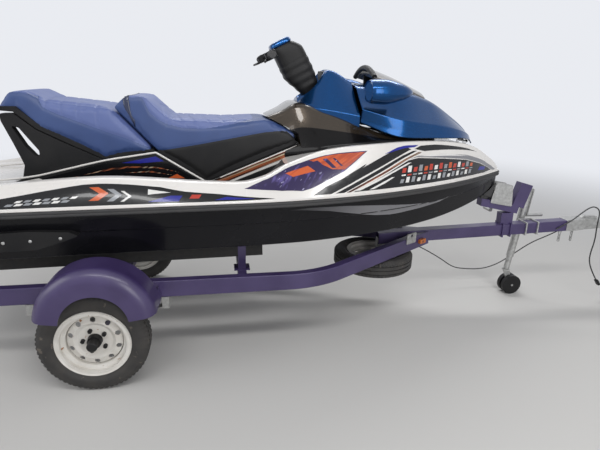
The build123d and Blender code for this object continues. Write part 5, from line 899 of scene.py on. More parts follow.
# %% Deck sections
deck_x = np.concatenate([np.linspace(-2092, -1760, 26), np.linspace(-1752, -1690, 12),
    np.linspace(-1670, 1080, 150), np.linspace(1090, 1176, 14)])
climb = np.linspace(0, 1, 9)
skin_side = deck_side(*np.meshgrid(deck_x, climb, indexing="ij"))[..., 1:]
crest_half, crest_z = deck_edges(deck_x)[1].T
crest_half, crest_z = crest_half - SIDE_TO_CREST[0], crest_z + SIDE_TO_CREST[1]
floor_z = np.interp(deck_x, np.array(DECK)[:, 0], np.array(DECK)[:, 3])
floor_z = np.minimum(floor_z, crest_z - 2)
# How much of a well there is: nought where floor and crest meet, one from WELL_DEEP millimetres on. It scales
# the gunwale's inner side, which takes a share of the half width and a few millimetres off at each point.
WELL_DEEP, DECK_BOTTOM = 40, 2
deep = np.clip((crest_z - floor_z) / WELL_DEEP, 0, 1)
over = [(crest_half + 3, crest_z - 2.5), (crest_half - 4, crest_z),
    (crest_half * (1 - 0.06 * deep) - 8, crest_z),
    (crest_half * (1 - 0.08 * deep) - 12, crest_z - 3 * deep),
    (crest_half * (1 - 0.09 * deep) - 15, crest_z - 9 * deep),
    (crest_half * (1 - 0.14 * deep) - 18, floor_z + 6 * deep),
    (crest_half * (1 - 0.16 * deep) - 24, floor_z), (0 * deck_x, floor_z)]
over = corner_rows(*over)
over[..., 0] = np.maximum(over[..., 0], 0)
bottom_z = DECK_BOTTOM + 0 * deck_x
under = corner_rows((0 * deck_x, bottom_z), (skin_side[:, 0, 0], bottom_z))
deck_half = np.concatenate([under, skin_side, over], axis=1)
print("deck sections", len(deck_x), "of", deck_half.shape[1], "points")

# %% The deck's skin, with mats in the wells
WELL_QUADS, WELL_STERN_X, WELL_BOW_X = 3, -1745, -330  # columns of quads on each side of the middle
middle = deck_half.shape[1] - 1
well = np.zeros(2 * middle, int)
well[middle - WELL_QUADS:middle + WELL_QUADS] = 1
rows_in_well = (deck_x[:-1] > WELL_STERN_X) & (deck_x[:-1] < WELL_BOW_X)
deck = grid("deck_skin", place(at_stations(deck_x, whole(deck_half))), [gel_white, mat_black],
    around=True, caps=True, slots=well[None, :] * rows_in_well[:, None], crease=40)
print("wells", round(float(deck_x[:-1][rows_in_well].max() - deck_x[:-1][rows_in_well].min())), "mm long")

# %% Cut the storage bin's mouth and the hinge's pocket
HINGE_POCKET = [(868, -125), (905, -106), (938, -72), (938, 72), (905, 106), (868, 125)]
BIN_CORNER, BIN_TURNS = 40, ((600, -130, -pi / 2), (600, 130, 0), (230, 130, pi / 2), (230, -130, pi))
quarter = np.linspace(0, pi / 2, 7)
BIN_MOUTH = np.concatenate([
    np.c_[x + BIN_CORNER * np.cos(start + quarter), y + BIN_CORNER * np.sin(start + quarter)]
    for x, y, start in BIN_TURNS])
BIN_FLOOR, BIN_TOP, POCKET_FLOOR, POCKET_TOP = 24, 700, 166, 600
cut_out(deck, [prism(BIN_MOUTH, BIN_FLOOR, BIN_TOP), prism(HINGE_POCKET, POCKET_FLOOR, POCKET_TOP)])
FLANGE_SECTION = [(-24, 1), (2.5, 1), (4.6, 3), (4.6, 6), (2.5, 8), (-3, 10.5), (-24, 10.5)]
flange = band("deck_edge", FLANGE_SECTION, [gel_white])
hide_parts("deck")

# %% [markdown]
# ## Pedestal and seat base
# The seats stand on a pedestal with flat sides, and behind it is a black base with two grab handles. Boxes could
# be shaped by loop cuts, but the outlines are all in the side view. So each part is a plate cut to its outline,
# with bevelled edges, and the base's plates are merged.

# %% Rounded outlines and merged pieces
def side_line(corners, steps=6):
    """Closed side-view line from ((x, z), radius) corners, each rounded by a quadratic arc whose reach is
    the radius times the tangent of half the turn."""
    at = np.array([point for point, _ in corners], float)
    radius = np.array([r for _, r in corners], float)
    back, ahead = np.roll(at, 1, 0) - at, np.roll(at, -1, 0) - at
    back_length, ahead_length = np.linalg.norm(back, axis=1), np.linalg.norm(ahead, axis=1)
    inner = np.arccos(np.clip(np.sum(back * ahead, 1) / (back_length * ahead_length), -1, 1))
    reach = np.minimum(radius / np.tan(inner / 2), 0.48 * np.minimum(back_length, ahead_length))[:, None]
    start, end = at + back / back_length[:, None] * reach, at + ahead / ahead_length[:, None] * reach
    t = np.linspace(0, 1, steps)[None, :, None]
    arcs = (1 - t)**2 * start[:, None] + 2 * t * (1 - t) * at[:, None] + t**2 * end[:, None]
    return arcs.reshape(-1, 2)


def merged(name, parts, body="trailer"):
    """One object from several, with their modifiers applied and their materials kept: each part's slot
    numbers are replaced by the places of its materials in the common list."""
    bpy.context.view_layer.update()
    graph = bpy.context.evaluated_depsgraph_get()
    work, skins = bmesh.new(), []
    for part in parts:
        mesh = bpy.data.meshes.new_from_object(part.evaluated_get(graph))
        own = [skins.index(m) if m in skins else skins.append(m) or len(skins) - 1 for m in mesh.materials]
        slots = np.zeros(len(mesh.polygons), np.int32)
        mesh.polygons.foreach_get("material_index", slots)
        mesh.polygons.foreach_set("material_index", np.array(own, np.int32)[slots])
        work.from_mesh(mesh)
        bpy.data.meshes.remove(mesh)
        bpy.data.objects.remove(part)
    mesh = bpy.data.meshes.new(name)
    work.to_mesh(mesh)
    work.free()
    for skin in skins:
        mesh.materials.append(skin)
    obj = link(name, mesh)
    tell(obj)
    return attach(obj, body)

# %% The pedestal and its piping
PEDESTAL = [((-1700, 4), 2), ((-1684, 80), 6), ((-1601, 92), 30), ((-1268, 167), 30), ((-1003, 200), 8),
    ((-745, 31), 8), ((-228, 235), 8), ((-228, 4), 2)]
PEDESTAL_HALF, PIPE_RADIUS, PIPE_BEND = 250, 0.0055, 60
pedestal = slab("pedestal", side_line(PEDESTAL), -PEDESTAL_HALF, PEDESTAL_HALF, [satin_black],
    bevel=0.006)
PIPE_LINE = np.array([(-2040, 62), (-1690, 84), (-1601, 95), (-1265, 168), (-1003, 203), (-996, 200), (-745, 34)])
for sign in (-1, 1):
    route = np.stack([PIPE_LINE[:, 0], np.full(len(PIPE_LINE), sign * (PEDESTAL_HALF - 1)), PIPE_LINE[:, 1]], -1)
    piping = tube(f"piping_{'port' if sign > 0 else 'starboard'}", place(bent(route, PIPE_BEND)), PIPE_RADIUS,
        [gel_white], sides=10)
print("pedestal", 2 * PEDESTAL_HALF, "mm wide")

# %% The seat base with its grab handles
SEAT_BASE = [((-1272, 166), 4), ((-1433, 247), 60), ((-1582, 327), 60), ((-1678, 412), 20), ((-1742, 412), 14),
    ((-1738, 372), 14), ((-1700, 262), 30), ((-1665, 150), 20), ((-1684, 82), 4), ((-1601, 92), 4)]
GRAB_WINDOW = [((-1697, 352), 8), ((-1662, 340), 8), ((-1578, 212), 12), ((-1600, 186), 12), ((-1648, 250), 20)]
BASE_CORE = [((-1272, 166), 4), ((-1433, 247), 60), ((-1582, 327), 20), ((-1600, 332), 4), ((-1600, 92), 4)]
BASE_HALF, HANDLE_INNER, PAN_HALF = 228, 184, 222
base_parts = [slab("core", side_line(BASE_CORE), -HANDLE_INNER - 2, HANDLE_INNER + 2, [satin_black])]
for sign in (-1, 1):
    base_parts.append(slab("handle", side_line(SEAT_BASE), sign * HANDLE_INNER, sign * BASE_HALF, [satin_black],
        holes=[side_line(GRAB_WINDOW)], bevel=0.009))
# Pans under the pads close the line between pad and base
REAR_UNDER = [(-1752, 426), (-1676, 418), (-1580, 332), (-1431, 251), (-1268, 168), (-1006, 201)]
REAR_OVER = [(-1018, 219), (-1264, 196), (-1424, 277), (-1572, 360), (-1664, 444), (-1736, 446)]
FRONT_UNDER = [(-1000, 201), (-745, 33), (-230, 237)]
FRONT_OVER = [(-250, 262), (-744, 66), (-976, 222)]
base_parts += [slab("pan", under + over_line, -PAN_HALF, PAN_HALF, [satin_black])
    for under, over_line in ((REAR_UNDER, REAR_OVER), (FRONT_UNDER, FRONT_OVER))]
seat_base = merged("seat_base_moulding", base_parts)
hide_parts("seat_base")

# %% [markdown]
# ## Seats
# Each seat is a foam pad in a tight vinyl cover. It could be sculpted, but cloth finds the rounding of stuffing
# by itself. Its side view is drawn out to a solid, remeshed into even quads and inflated as cloth for a few
# frames. The swelling is held within a few millimetres, so that the seat still fits its base.

# %% The seats' outlines and covers
FRONT_SEAT = [((-999, 201), 6), ((-1212, 436), 14), ((-1140, 500), 40), ((-1045, 498), 50), ((-920, 380), 90),
    ((-640, 366), 200), ((-400, 374), 60), ((-238, 292), 20), ((-228, 236), 6), ((-745, 32), 6)]
REAR_SEAT = [((-1003, 201), 6), ((-1216, 436), 14), ((-1262, 446), 30), ((-1528, 478), 60), ((-1622, 526), 40),
    ((-1700, 520), 30), ((-1768, 424), 14), ((-1676, 418), 20), ((-1580, 332), 60), ((-1431, 251), 60),
    ((-1268, 168), 5)]
SEAT_HALF = 235
SWELL, EVEN_QUADS = 0.007, 0.006  # metres
VINYL = dict(grain_scale=1300.0, grain_depth=0.00025, Coat_Weight=0.12, Coat_Roughness=0.35)
seat_top = finish_of("seat_top", [(0.088, 0.124, 0.300), (0.100, 0.138, 0.325)], (0.46, 0.58), 9.0, **VINYL)
seat_side = finish_of("seat_side", [(0.027, 0.056, 0.170), (0.033, 0.066, 0.195)], (0.44, 0.55), 9.0, **VINYL)
print("covers", seat_top.name, seat_side.name)

# %% From a side view to an even mesh
def local_of(world):
    """Metres above the floor back to craft millimetres."""
    x, y, z = np.moveaxis(np.asarray(world) / MM, -1, 0)
    z = z - SHEER_Z
    return np.stack([x * cos(PITCH) + z * sin(PITCH), y, z * cos(PITCH) - x * sin(PITCH)], -1)


def inflated(name, corners, half, taper):
    """A pad with the given side view, drawn in by SWELL and remeshed. Over the upper 65% of its height it
    narrows to 1 - taper of its width, on the smooth step 3 s squared less 2 s cubed."""
    line = side_line(corners)
    middle = line.mean(0)
    ahead = np.roll(line, -1, 0) - np.roll(line, 1, 0)
    inwards = np.stack([-ahead[:, 1], ahead[:, 0]], -1) / np.linalg.norm(ahead, axis=1, keepdims=True)
    # Twice the outline's signed area, which tells which way round it runs
    area = np.sum(line[:, 0] * np.roll(line[:, 1], -1) - np.roll(line[:, 0], -1) * line[:, 1])
    line = line + inwards * (SWELL / MM) * (1 if area > 0 else -1)
    pad = slab(name, line, -half + SWELL / MM + 4, half - SWELL / MM - 4, [seat_top, seat_side, satin_black],
        bevel=0.012)
    remesh = pad.modifiers.new("even", "REMESH")
    remesh.mode, remesh.voxel_size = "VOXEL", EVEN_QUADS
    remesh.use_smooth_shade = True
    soften = pad.modifiers.new("soften", "SMOOTH")
    soften.iterations = 4
    bpy.context.view_layer.update()
    mesh = bpy.data.meshes.new_from_object(pad.evaluated_get(bpy.context.evaluated_depsgraph_get()))
    pad.modifiers.clear()
    pad.data = mesh
    at = local_of(numbers_of(mesh.vertices, "co"))
    low, high = at[:, 2].min(), at[:, 2].max()
    share = np.clip((at[:, 2] - low - 0.35 * (high - low)) / (0.65 * (high - low)), 0, 1)
    at[:, 1] *= 1 - taper * share**2 * (3 - 2 * share)
    mesh.vertices.foreach_set("co", place(at).ravel())
    mesh.update()
    return pad

# %% Inflate the pads as cloth
BLOW_FRAMES, CACHE_FRAMES = 12, 20


def blow_up(pads):
    """Runs the cloth for all the pads at once and applies it. The cover is light and stiff, under a low
    pressure and no gravity. A move m becomes SWELL times the hyperbolic tangent of m over SWELL."""
    before = {pad: numbers_of(pad.data.vertices, "co") for pad in pads}
    for pad in pads:
        cloth = pad.modifiers.new("cloth", "CLOTH")
        cloth.settings.quality = 4
        cloth.settings.mass = 0.15
        cloth.settings.tension_stiffness = cloth.settings.compression_stiffness = 40
        cloth.settings.bending_stiffness = 8
        cloth.settings.use_pressure = True
        cloth.settings.uniform_pressure_force = 4
        cloth.settings.effector_weights.gravity = 0
        cloth.point_cache.frame_start, cloth.point_cache.frame_end = 1, CACHE_FRAMES
    for frame_number in range(1, BLOW_FRAMES + 1):
        scene.frame_set(frame_number)
    graph = bpy.context.evaluated_depsgraph_get()
    blown = {pad: bpy.data.meshes.new_from_object(pad.evaluated_get(graph)) for pad in pads}
    for pad, mesh in blown.items():
        pad.modifiers.clear()
        move = numbers_of(mesh.vertices, "co") - before[pad]
        length = np.linalg.norm(move, axis=1, keepdims=True)
        cap = SWELL * np.tanh(length / SWELL) / np.maximum(length, 1e-9)
        mesh.vertices.foreach_set("co", (before[pad] + move * cap).ravel())
        mesh.update()
        pad.data = mesh
        print(pad.name, "swelled by up to", round(float((length * cap).max()) / MM, 1), "mm")
    scene.frame_set(1)

# %% [markdown]
# ## Seams and two-coloured covers
# A cover is sewn from panels, paler on top and darker on the flanks. A seam could be a line in a texture, but
# it has to catch the light. So the pads' points are pressed in along it, and the faces are cut where the
# colours meet, because whole quads would leave a ragged edge.

# %% Press seams and pick colours
def press(pad, seams, below):
    """Presses seams in: each is (distance function of craft points, depth, width), and its groove is depth
    times e to minus the square of distance over width. Faces take the material that below picks for their
    middles."""
    mesh = pad.data
    normals, world = numbers_of(mesh.vertices, "normal"), numbers_of(mesh.vertices, "co")
    at = local_of(world)
    push = np.zeros(len(at))
    for distance, depth, width in seams:
        push = np.maximum(push, depth * np.exp(-(distance(at) / width)**2))
    world -= normals * push[:, None] * MM
    mesh.vertices.foreach_set("co", world.ravel())
    middles = local_of(numbers_of(mesh.polygons, "center"))
    mesh.polygons.foreach_set("material_index", below(middles).astype(np.int32))
    mesh.update()

# %% Edge lines and how far a point is from a seam
REAR_EDGE = np.array([(-1800, 506), (-1640, 512), (-1599, 504), (-1562, 489), (-1540, 440), (-1480, 408),
    (-1400, 376), (-1246, 315), (-1118, 266), (-1003, 207)])
FRONT_EDGE = np.array([
    (-1230, 487), (-1052, 486), (-1038, 450), (-1020, 408), (-980, 374), (-940, 351), (-856, 328),
    (-770, 323), (-680, 330), (-580, 348), (-500, 364), (-420, 384), (-220, 400)])
PANEL_EDGE = np.array([(-1010, 200), (-955, 213), (-768, 240), (-550, 277), (-412, 299), (-340, 305), (-290, 302),
    (-225, 250)])
FRONT_TOP = np.array([(-1140, 500), (-1045, 498), (-920, 380), (-640, 366), (-400, 374), (-238, 292)])
TAPER_AT, FAR_OFF, BELOW_EDGE, NEAR_CUT = 168, 60, -6, 14  # FAR_OFF is where a groove is nought


def below_line(line):
    """Signed height of craft points over a side-view line, by straight interpolation."""
    return lambda at: at[:, 2] - np.interp(at[:, 0], line[:, 0], line[:, 1])


def cross_seam(x, slant, drop, line):
    """Distance from a seam across the top panel; it leans forwards by slant as it goes out and by drop as
    it goes down the flank, and stops below the edge line."""
    over, down = below_line(line), below_line(FRONT_TOP)

    def distance(at):
        ahead = slant * np.abs(at[:, 1]) + drop * np.maximum(0, -down(at))
        return np.abs(at[:, 0] - x - ahead) + np.where(over(at) < BELOW_EDGE, FAR_OFF, 0)

    return distance

# %% Cut faces along a line
def cut_along(pad, line):
    """Cuts the pad's faces where a side-view line crosses them, one upright plane for each stretch of it,
    so that the colours meet on a clean edge."""
    mesh = pad.data
    centre = local_of(numbers_of(mesh.polygons, "center"))
    near = np.abs(below_line(line)(centre)) < NEAR_CUT
    work = bmesh.new()
    work.from_mesh(mesh)
    work.faces.ensure_lookup_table()
    stretches = []
    for start, end in zip(line[:-1], line[1:]):
        chosen = np.flatnonzero(near & (centre[:, 0] >= start[0]) & (centre[:, 0] < end[0]))
        stretches.append((start, end, [work.faces[i] for i in chosen]))
    for start, end, faces in stretches:
        faces = [face for face in faces if face.is_valid]
        geometry = set(faces).union(*(face.edges for face in faces), *(face.verts for face in faces))
        first, second = place([[start[0], 0, start[1]], [end[0], 0, end[1]]])
        square = Vector(second - first).cross(Vector((0, 1, 0)))
        bmesh.ops.bisect_plane(work, geom=list(geometry), plane_co=Vector(first), plane_no=square, dist=1e-5)
    work.to_mesh(mesh)
    work.free()


def edge_seam(line):
    """Distance from a seam that follows a side-view line on the flanks: 0.8 of the height over the line,
    for the flank's slant."""
    over = below_line(line)
    return lambda at: np.abs(over(at)) * 0.8 + np.where(np.abs(at[:, 1]) < TAPER_AT, FAR_OFF, 0)

# %% Make both seats
REAR_SEAMS = [-1536, -1466, -1384, -1292]
FRONT_SEAMS = [-982, -900, -835, -756, -676, -600]
pads = [inflated("seat_front_pad", FRONT_SEAT, SEAT_HALF, 0.13),
    inflated("seat_rear_pad", REAR_SEAT, SEAT_HALF, 0.12)]
blow_up(pads)
seat_front, seat_rear = pads
cut_along(seat_rear, REAR_EDGE)
cut_along(seat_front, FRONT_EDGE)
cut_along(seat_front, PANEL_EDGE)
# Seams as (distance, depth, width): one along the edge of the top panel, the others across it
press(seat_rear, [(edge_seam(REAR_EDGE), 3.5, 8)]
      + [(cross_seam(x, 0.04, 0, REAR_EDGE), 3.5, 6) for x in REAR_SEAMS],
      lambda at: (below_line(REAR_EDGE)(at) < 0).astype(int))
press(seat_front, [(edge_seam(FRONT_EDGE), 3.5, 8), (edge_seam(PANEL_EDGE), 3, 5)]
      + [(cross_seam(x, 0.16, 0.8, FRONT_EDGE), 3.5, 6) for x in FRONT_SEAMS],
      lambda at: np.where(below_line(PANEL_EDGE)(at) < 0, 2, (below_line(FRONT_EDGE)(at) < 0).astype(int)))
for pad, node in ((seat_front, "seat_front"), (seat_rear, "seat_rear")):
    pad.data.shade_smooth()
    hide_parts(node)
    tell(pad)

# %% [markdown]
# ## Strap
# A dark glossy strap runs over the front pad's raised back and narrows to a point on each flank. It could
# be a painted stripe, but the real one has an edge. So a flat ribbon is laid on the pad by a shrinkwrap and
# then given its thickness.

# %% Lay the strap over the pad
STRAP_TOP_X, STRAP_FOOT_X, FOOT_Z, STRAP_WIDTH = -1140, -1111, 331, 38
STRAP_LIFT, STRAP_THICK, STRAP_ROWS, STRAP_COLUMNS = 0.0022, 0.0015, 120, 5
over_pad = bent([(0, -246, FOOT_Z), (0, -246, 480), (0, -190, 512), (0, 190, 512), (0, 246, 480),
    (0, 246, FOOT_Z)], 40)
reach_up = np.clip((over_pad[:, 2] - FOOT_Z) / 150, 0, 1)
strap_x = STRAP_FOOT_X + (STRAP_TOP_X - STRAP_FOOT_X) * reach_up
strap_half = 2 + (STRAP_WIDTH / 2 - 2) * reach_up
lane = np.stack([strap_x, over_pad[:, 1], over_pad[:, 2], strap_half], -1)
along = np.linspace(0, len(lane) - 1, STRAP_ROWS)
x, y, z, half = (np.interp(along, np.arange(len(lane)), column)[:, None] for column in lane.T)
across = np.linspace(-1, 1, STRAP_COLUMNS)
ribbon = np.stack([x + half * across, y + 0 * across, z + 0 * across], -1)
strap_skin = material("strap_skin", (0.012, 0.020, 0.060), 0.16, Coat_Weight=0.5, Coat_Roughness=0.05)
strap = grid("seat_strap", place(ribbon[::-1]), [strap_skin], crease=60)
laid = strap.modifiers.new("laid", "SHRINKWRAP")
laid.target, laid.wrap_method, laid.wrap_mode = seat_front, "NEAREST_SURFACEPOINT", "ABOVE_SURFACE"
laid.offset = STRAP_LIFT
thick = strap.modifiers.new("thick", "SOLIDIFY")
thick.thickness, thick.offset = STRAP_THICK, -1
tell(strap)

# %% [markdown]
# ## Cowl
# The cowl is a dark bronze moulding between the deck and the hood, hollow between its foot and its shoulder.
# Its foot and hollow are painted near-black as shade under the shoulder. It is made of half sections as the
# deck is, for one fair surface. The seat's nose and the storage bin reach into it, so their room is cut out.

# %% Cowl sections, cut for the seat and the bin
# station, foot's half width and height, shoulder's half width and height
COWL = [(-400, 215, 120, 150, 372), (-312, 250, 180, 175, 408), (-219, 320, 206, 200, 452),
    (-100, 398, 236, 236, 416), (16, 398, 246, 280, 376), (336, 350, 259, 330, 267), (571, 268, 248, 258, 252)]
cowl_x = np.linspace(-400, 571, 90)
foot, foot_z, shoulder, shoulder_z = through(COWL, cowl_x).T
none = 0 * cowl_x
hollow = (foot * 0.42 + shoulder * 0.58 - 4, foot_z * 0.45 + shoulder_z * 0.55 - 4)
cowl_half = corner_rows(
    (none, 2 + none), (foot - 30, 2 + none), (foot, foot_z), hollow, (shoulder + 3, shoulder_z - 12),
    (shoulder - 22, shoulder_z + 2), (none, shoulder_z + 8))
cowl_half = rounded(cowl_half, np.array([5, 16, 40, 16, 14]), 7)
SHADED_COLUMNS = 17  # the first columns of quads, from the foot up into the hollow, take a near-black copy of the paint: painted shade
half_slots = (np.arange(cowl_half.shape[1] - 1) < SHADED_COLUMNS).astype(int)
cowl = grid("cowl_shell", place(at_stations(cowl_x, whole(cowl_half))), [bronze_black, cowl_shade_black],
    around=True, caps=True, slots=np.concatenate([half_slots, half_slots[::-1]])[None], crease=32)
NOSE_TOOL = [(-1010, 6), (-745, 6), (-222, 234), (-231, 296), (-396, 380), (-640, 372), (-1010, 500)]
nose_tool = slab("nose_tool", NOSE_TOOL, -500, 500, [])
cut_out(cowl, [nose_tool, prism(BIN_MOUTH, BIN_FLOOR, BIN_TOP)])
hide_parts("cowl")

# %% [markdown]
# ## Console
# The console is the blue peak ahead of the bars, and the steering column comes out of it. Sections give the
# peak. The column turns, so a cone of room is cut out round it, wider at the top, where the bars' cover
# swings.

# %% Console sections
# station, then half width and height of foot, waist and crest
CONSOLE = [(-205, 130, 300, 128, 452, 60, 470), (-100, 232, 300, 222, 430, 105, 560),
    (-27, 262, 300, 250, 420, 100, 630), (104, 300, 300, 298, 395, 110, 570)]
console_x = np.linspace(-205, 106, 34)
foot, foot_z, waist, waist_z, crest, crest_z = through(CONSOLE, console_x).T
none = 0 * console_x
console_half = corner_rows(
    (none, foot_z), (foot, foot_z), (waist + 6, waist_z - 8), (waist - 4, waist_z + 4), (crest + 6, crest_z - 16),
    (crest - 10, crest_z), (none, crest_z + 6))
console_half = rounded(console_half, np.array([4, 10, 10, 12, 12]), 6)
console = grid("console_shell", place(at_stations(console_x, whole(console_half))), [metal_blue],
    around=True, caps=True, crease=30)

# %% Cut room for the steering column
STEER_AT, STEER_TILT = place([-113, 0, 508]), radians(29) - PITCH


def on_column(points):
    """The column's millimetres, ahead, to port and up the column, to metres above the floor: turned by
    STEER_TILT about Y and moved to STEER_AT."""
    ahead, port, up_column = np.moveaxis(np.asarray(points, float), -1, 0) * MM
    turned = [ahead * cos(STEER_TILT) - up_column * sin(STEER_TILT), port,
        ahead * sin(STEER_TILT) + up_column * cos(STEER_TILT)]
    return STEER_AT + np.stack(turned, -1)


cone_route = on_column([(0, 0, -12), (0, 0, 69), (0, 0, 150)])
cone = tube("cone", cone_route, np.array([0.086, 0.122, 0.158]), [], sides=48)
cut_out(console, [cone])
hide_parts("console")

# %% [markdown]
# ## Hood
# The hood is an open blue moulding over the storage bin. A crease runs forward from its rear corner, the
# flank is hollow below it, and its lower edge turns in to a black lip. It opens, so it needs an inside: the
# sections stay open below, and a solidify modifier gives the wall, whose inner side takes the black finish.

# %% Hood sections and wall
# station, edge half width and height, waist, brow, top height
HOOD = [(112, 306, 352, 330, 430, 190, 540, 562), (336, 352, 275, 345, 372, 205, 520, 548),
    (573, 290, 258, 272, 335, 150, 458, 488), (765, 215, 246, 190, 292, 100, 350, 368),
    (872, 135, 226, 115, 256, 60, 276, 287), (932, 66, 192, 52, 205, 30, 214, 216)]
hood_x = np.linspace(112, 932, 96)
edge, edge_z, waist, waist_z, brow, brow_z, top_z = through(HOOD, hood_x).T
none = 0 * hood_x
fold = np.clip((900 - hood_x) / 500, 0, 1)  # the crease fades out towards the nose
hood_half = corner_rows(
    (edge - 10, edge_z - 2), (edge, edge_z + 3),
    (edge * 0.7 + waist * 0.3 - 5 * fold, edge_z * 0.7 + waist_z * 0.3), (waist, waist_z - 3),
    (waist - 10 * fold, waist_z + 6 * fold),
    (waist * 0.5 + brow * 0.5 + 2, waist_z * 0.5 + brow_z * 0.5 - 8 * fold), (brow + 8, brow_z - 8),
    (brow - 22 * fold, brow_z + 6), (none, top_z))
hood_half = rounded(hood_half, np.array([4, 60, 5, 30, 50, 14, 60]), 6)
hood_open = np.concatenate([hood_half, hood_half[:, -2::-1] * [-1, 1]], axis=1)
hood = grid("hood_shell", place(at_stations(hood_x, hood_open)), [metal_blue, satin_black], "hood", crease=24)

# %% The hood's outside and its wall
WALL = 0.006
work = bmesh.new()
work.from_mesh(hood.data)
bmesh.ops.recalc_face_normals(work, faces=work.faces)
if max(work.faces, key=lambda face: face.calc_center_median().z).normal.z < 0:
    bmesh.ops.reverse_faces(work, faces=work.faces)
work.to_mesh(hood.data)
work.free()
wall = hood.modifiers.new("wall", "SOLIDIFY")
wall.thickness, wall.offset = WALL, -1
wall.material_offset = 1
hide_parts("hood")
tell(hood)

# %% [markdown]
# ## Wind deflector
# An arched bronze sheet stands over the hood's top, with a rolled rear edge, on two webs. A bent plane with
# a thickness would do, but its ends must close to a point. So the arch is computed: a parabola across, with
# a low sine along it.

# %% The arched sheet, its roll and its webs
# station, half width, top height, edge height
VISOR = [(214, 190, 652, 598), (560, 120, 512, 476)]
VISOR_THICK, ROLL_R, ARCH_RISE, VISOR_COLUMNS = 9, 15, 8, 33
visor_x = np.linspace(VISOR[0][0], VISOR[1][0], 24)
half_width, visor_top, visor_edge = through(VISOR, visor_x).T[:, :, None]
share = np.linspace(-1, 1, VISOR_COLUMNS)
run = (visor_x[:, None] - VISOR[0][0]) / (VISOR[1][0] - VISOR[0][0])
arch_y = half_width * share
arch_z = visor_top - (visor_top - visor_edge) * share**2 + ARCH_RISE * np.sin(pi * run)
sheet_top = np.stack([arch_y, arch_z], -1)
sheet_low = np.stack([arch_y, arch_z - VISOR_THICK], -1)[:, ::-1]
visor_skin = finish_of("visor_skin", [(0.13, 0.115, 0.10), (0.17, 0.15, 0.13)], (0.16, 0.24), 300.0,
    metallic=0.6, Coat_Weight=1.0, Coat_Roughness=0.04)
visor_sheet = grid("sheet", place(at_stations(visor_x, np.concatenate([sheet_top, sheet_low], 1))), [visor_skin],
    "hood", around=True, caps=True, crease=40)
roll_route = np.stack([np.full(VISOR_COLUMNS, 216.0), arch_y[0], arch_z[0] - VISOR_THICK / 2], -1)
roll = tube("roll", place(roll_route), ROLL_R * MM, [satin_black], "hood", sides=20)
WEB_SIDE = [(240, 552), (336, 522), (420, 496), (420, 534), (240, 606)]
webs = [slab("web", WEB_SIDE, sign * 90 - 6, sign * 90 + 6, [satin_black], "hood") for sign in (-1, 1)]
visor = merged("wind_deflector", [visor_sheet, roll, *webs], "hood")
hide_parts("visor")

# %% [markdown]
# ## Mirrors
# Each mirror is a blue pod that comes to a point ahead of its glass, on a short arm. A sphere could be squeezed
# to it, but its rings would crowd at the tip. Rings of a flattened oval follow a table of sizes instead. The
# glass is a thin plate of its own, with a mirror's finish.

# %% The mirrors' pods, arms and glass
# station, then the ring's middle (y, z), half width and half height
MIRROR = [(118, 400, 522, 74, 56), (135, 400, 522, 78, 61), (200, 398, 520, 76, 64), (300, 388, 518, 52, 44),
    (350, 378, 516, 28, 24), (374, 372, 516, 6, 5)]
POD_START, POD_LONG, POD_Y, POD_Z, OVAL_POINTS, FLATNESS = 118, 256, 400, 522, 40, 0.86
INSET, GLASS, GLASS_X = (66, 49), (63, 46), [119.5, 122.5]
pod_x = POD_START + POD_LONG * (1 - np.cos(np.linspace(0, pi / 2, 26)))
pod_y, pod_z, pod_half, pod_height = through(MIRROR, pod_x).T
lap = np.linspace(0, 2 * pi, OVAL_POINTS, endpoint=False)


def squared_off(wave, power):
    """A sine or cosine raised to a power under one, with its sign kept, which fills out an oval's corners."""
    return np.sign(wave) * np.abs(wave)**power


lid = squared_off(np.sin(lap), FLATNESS)


def oval(sign, half, height):
    """One flattened oval about a mirror's middle, as a row of (y, z) points."""
    return np.stack([sign * (POD_Y + half * np.cos(lap)), POD_Z + height * lid], -1)[None]


pods, glasses = [], []
for sign in (-1, 1):
    ring_y = sign * (pod_y[:, None] + pod_half[:, None] * np.cos(lap))
    ring_z = pod_z[:, None] + pod_height[:, None] * lid
    rings = np.concatenate([oval(sign, *INSET), np.stack([ring_y, ring_z], -1)])
    pods.append(grid("pod", place(at_stations(np.concatenate([[122], pod_x]), rings)), [metal_blue], "hood",
        around=True, caps=True, crease=40))
    pods.append(slab("arm", [(150, 470), (290, 470), (300, 510), (150, 520)], sign * 300, sign * 380,
        [satin_black], "hood", bevel=0.008))
    plate = at_stations(GLASS_X, np.concatenate([oval(sign, *GLASS)] * 2))
    glasses.append(grid("glass", place(plate), [mirror_face], "hood", around=True, caps=True, crease=20))
pod_pair = merged("mirror_pod_pair", pods, "hood")
glass_pair = merged("mirror_glass_pair", glasses, "hood")
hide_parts("mirror_pods")
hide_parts("mirror_glass")

# %% [markdown]
# ## Steering neck
# The steering column wears a ribbed black cover with a blue cap. Its section is a rectangle with very round
# corners, which a rounded box could give, but it changes on the way up. So it is a stack of such sections, in the
# column's own leaning axes, and the ribs are a small ripple in their size.

# %% The column's ribbed cover
# height up the column, centre, depth, width
NECK = [(0, 0, 104, 104), (60, -8, 138, 126), (140, -22, 176, 150), (250, -26, 170, 160), (296, -44, 140, 144),
    (310, -50, 112, 124), (318, -52, 96, 108)]
NECK_TOP, RIB_TOP, RIBS, RIB_DEPTH, LAP_POINTS, SQUARENESS = 318, 200, 7, 0.018, 48, 0.55
neck_h = np.concatenate([np.linspace(0, NECK_TOP, 60), [NECK_TOP]])
centre, depth, width = through(NECK, neck_h).T
ribs = 1 + RIB_DEPTH * np.cos(neck_h / NECK_TOP * 2 * pi * RIBS) * (neck_h < RIB_TOP)
lap = np.linspace(0, 2 * pi, LAP_POINTS, endpoint=False)
squircle_x, squircle_y = squared_off(np.cos(lap), SQUARENESS), squared_off(np.sin(lap), SQUARENESS)


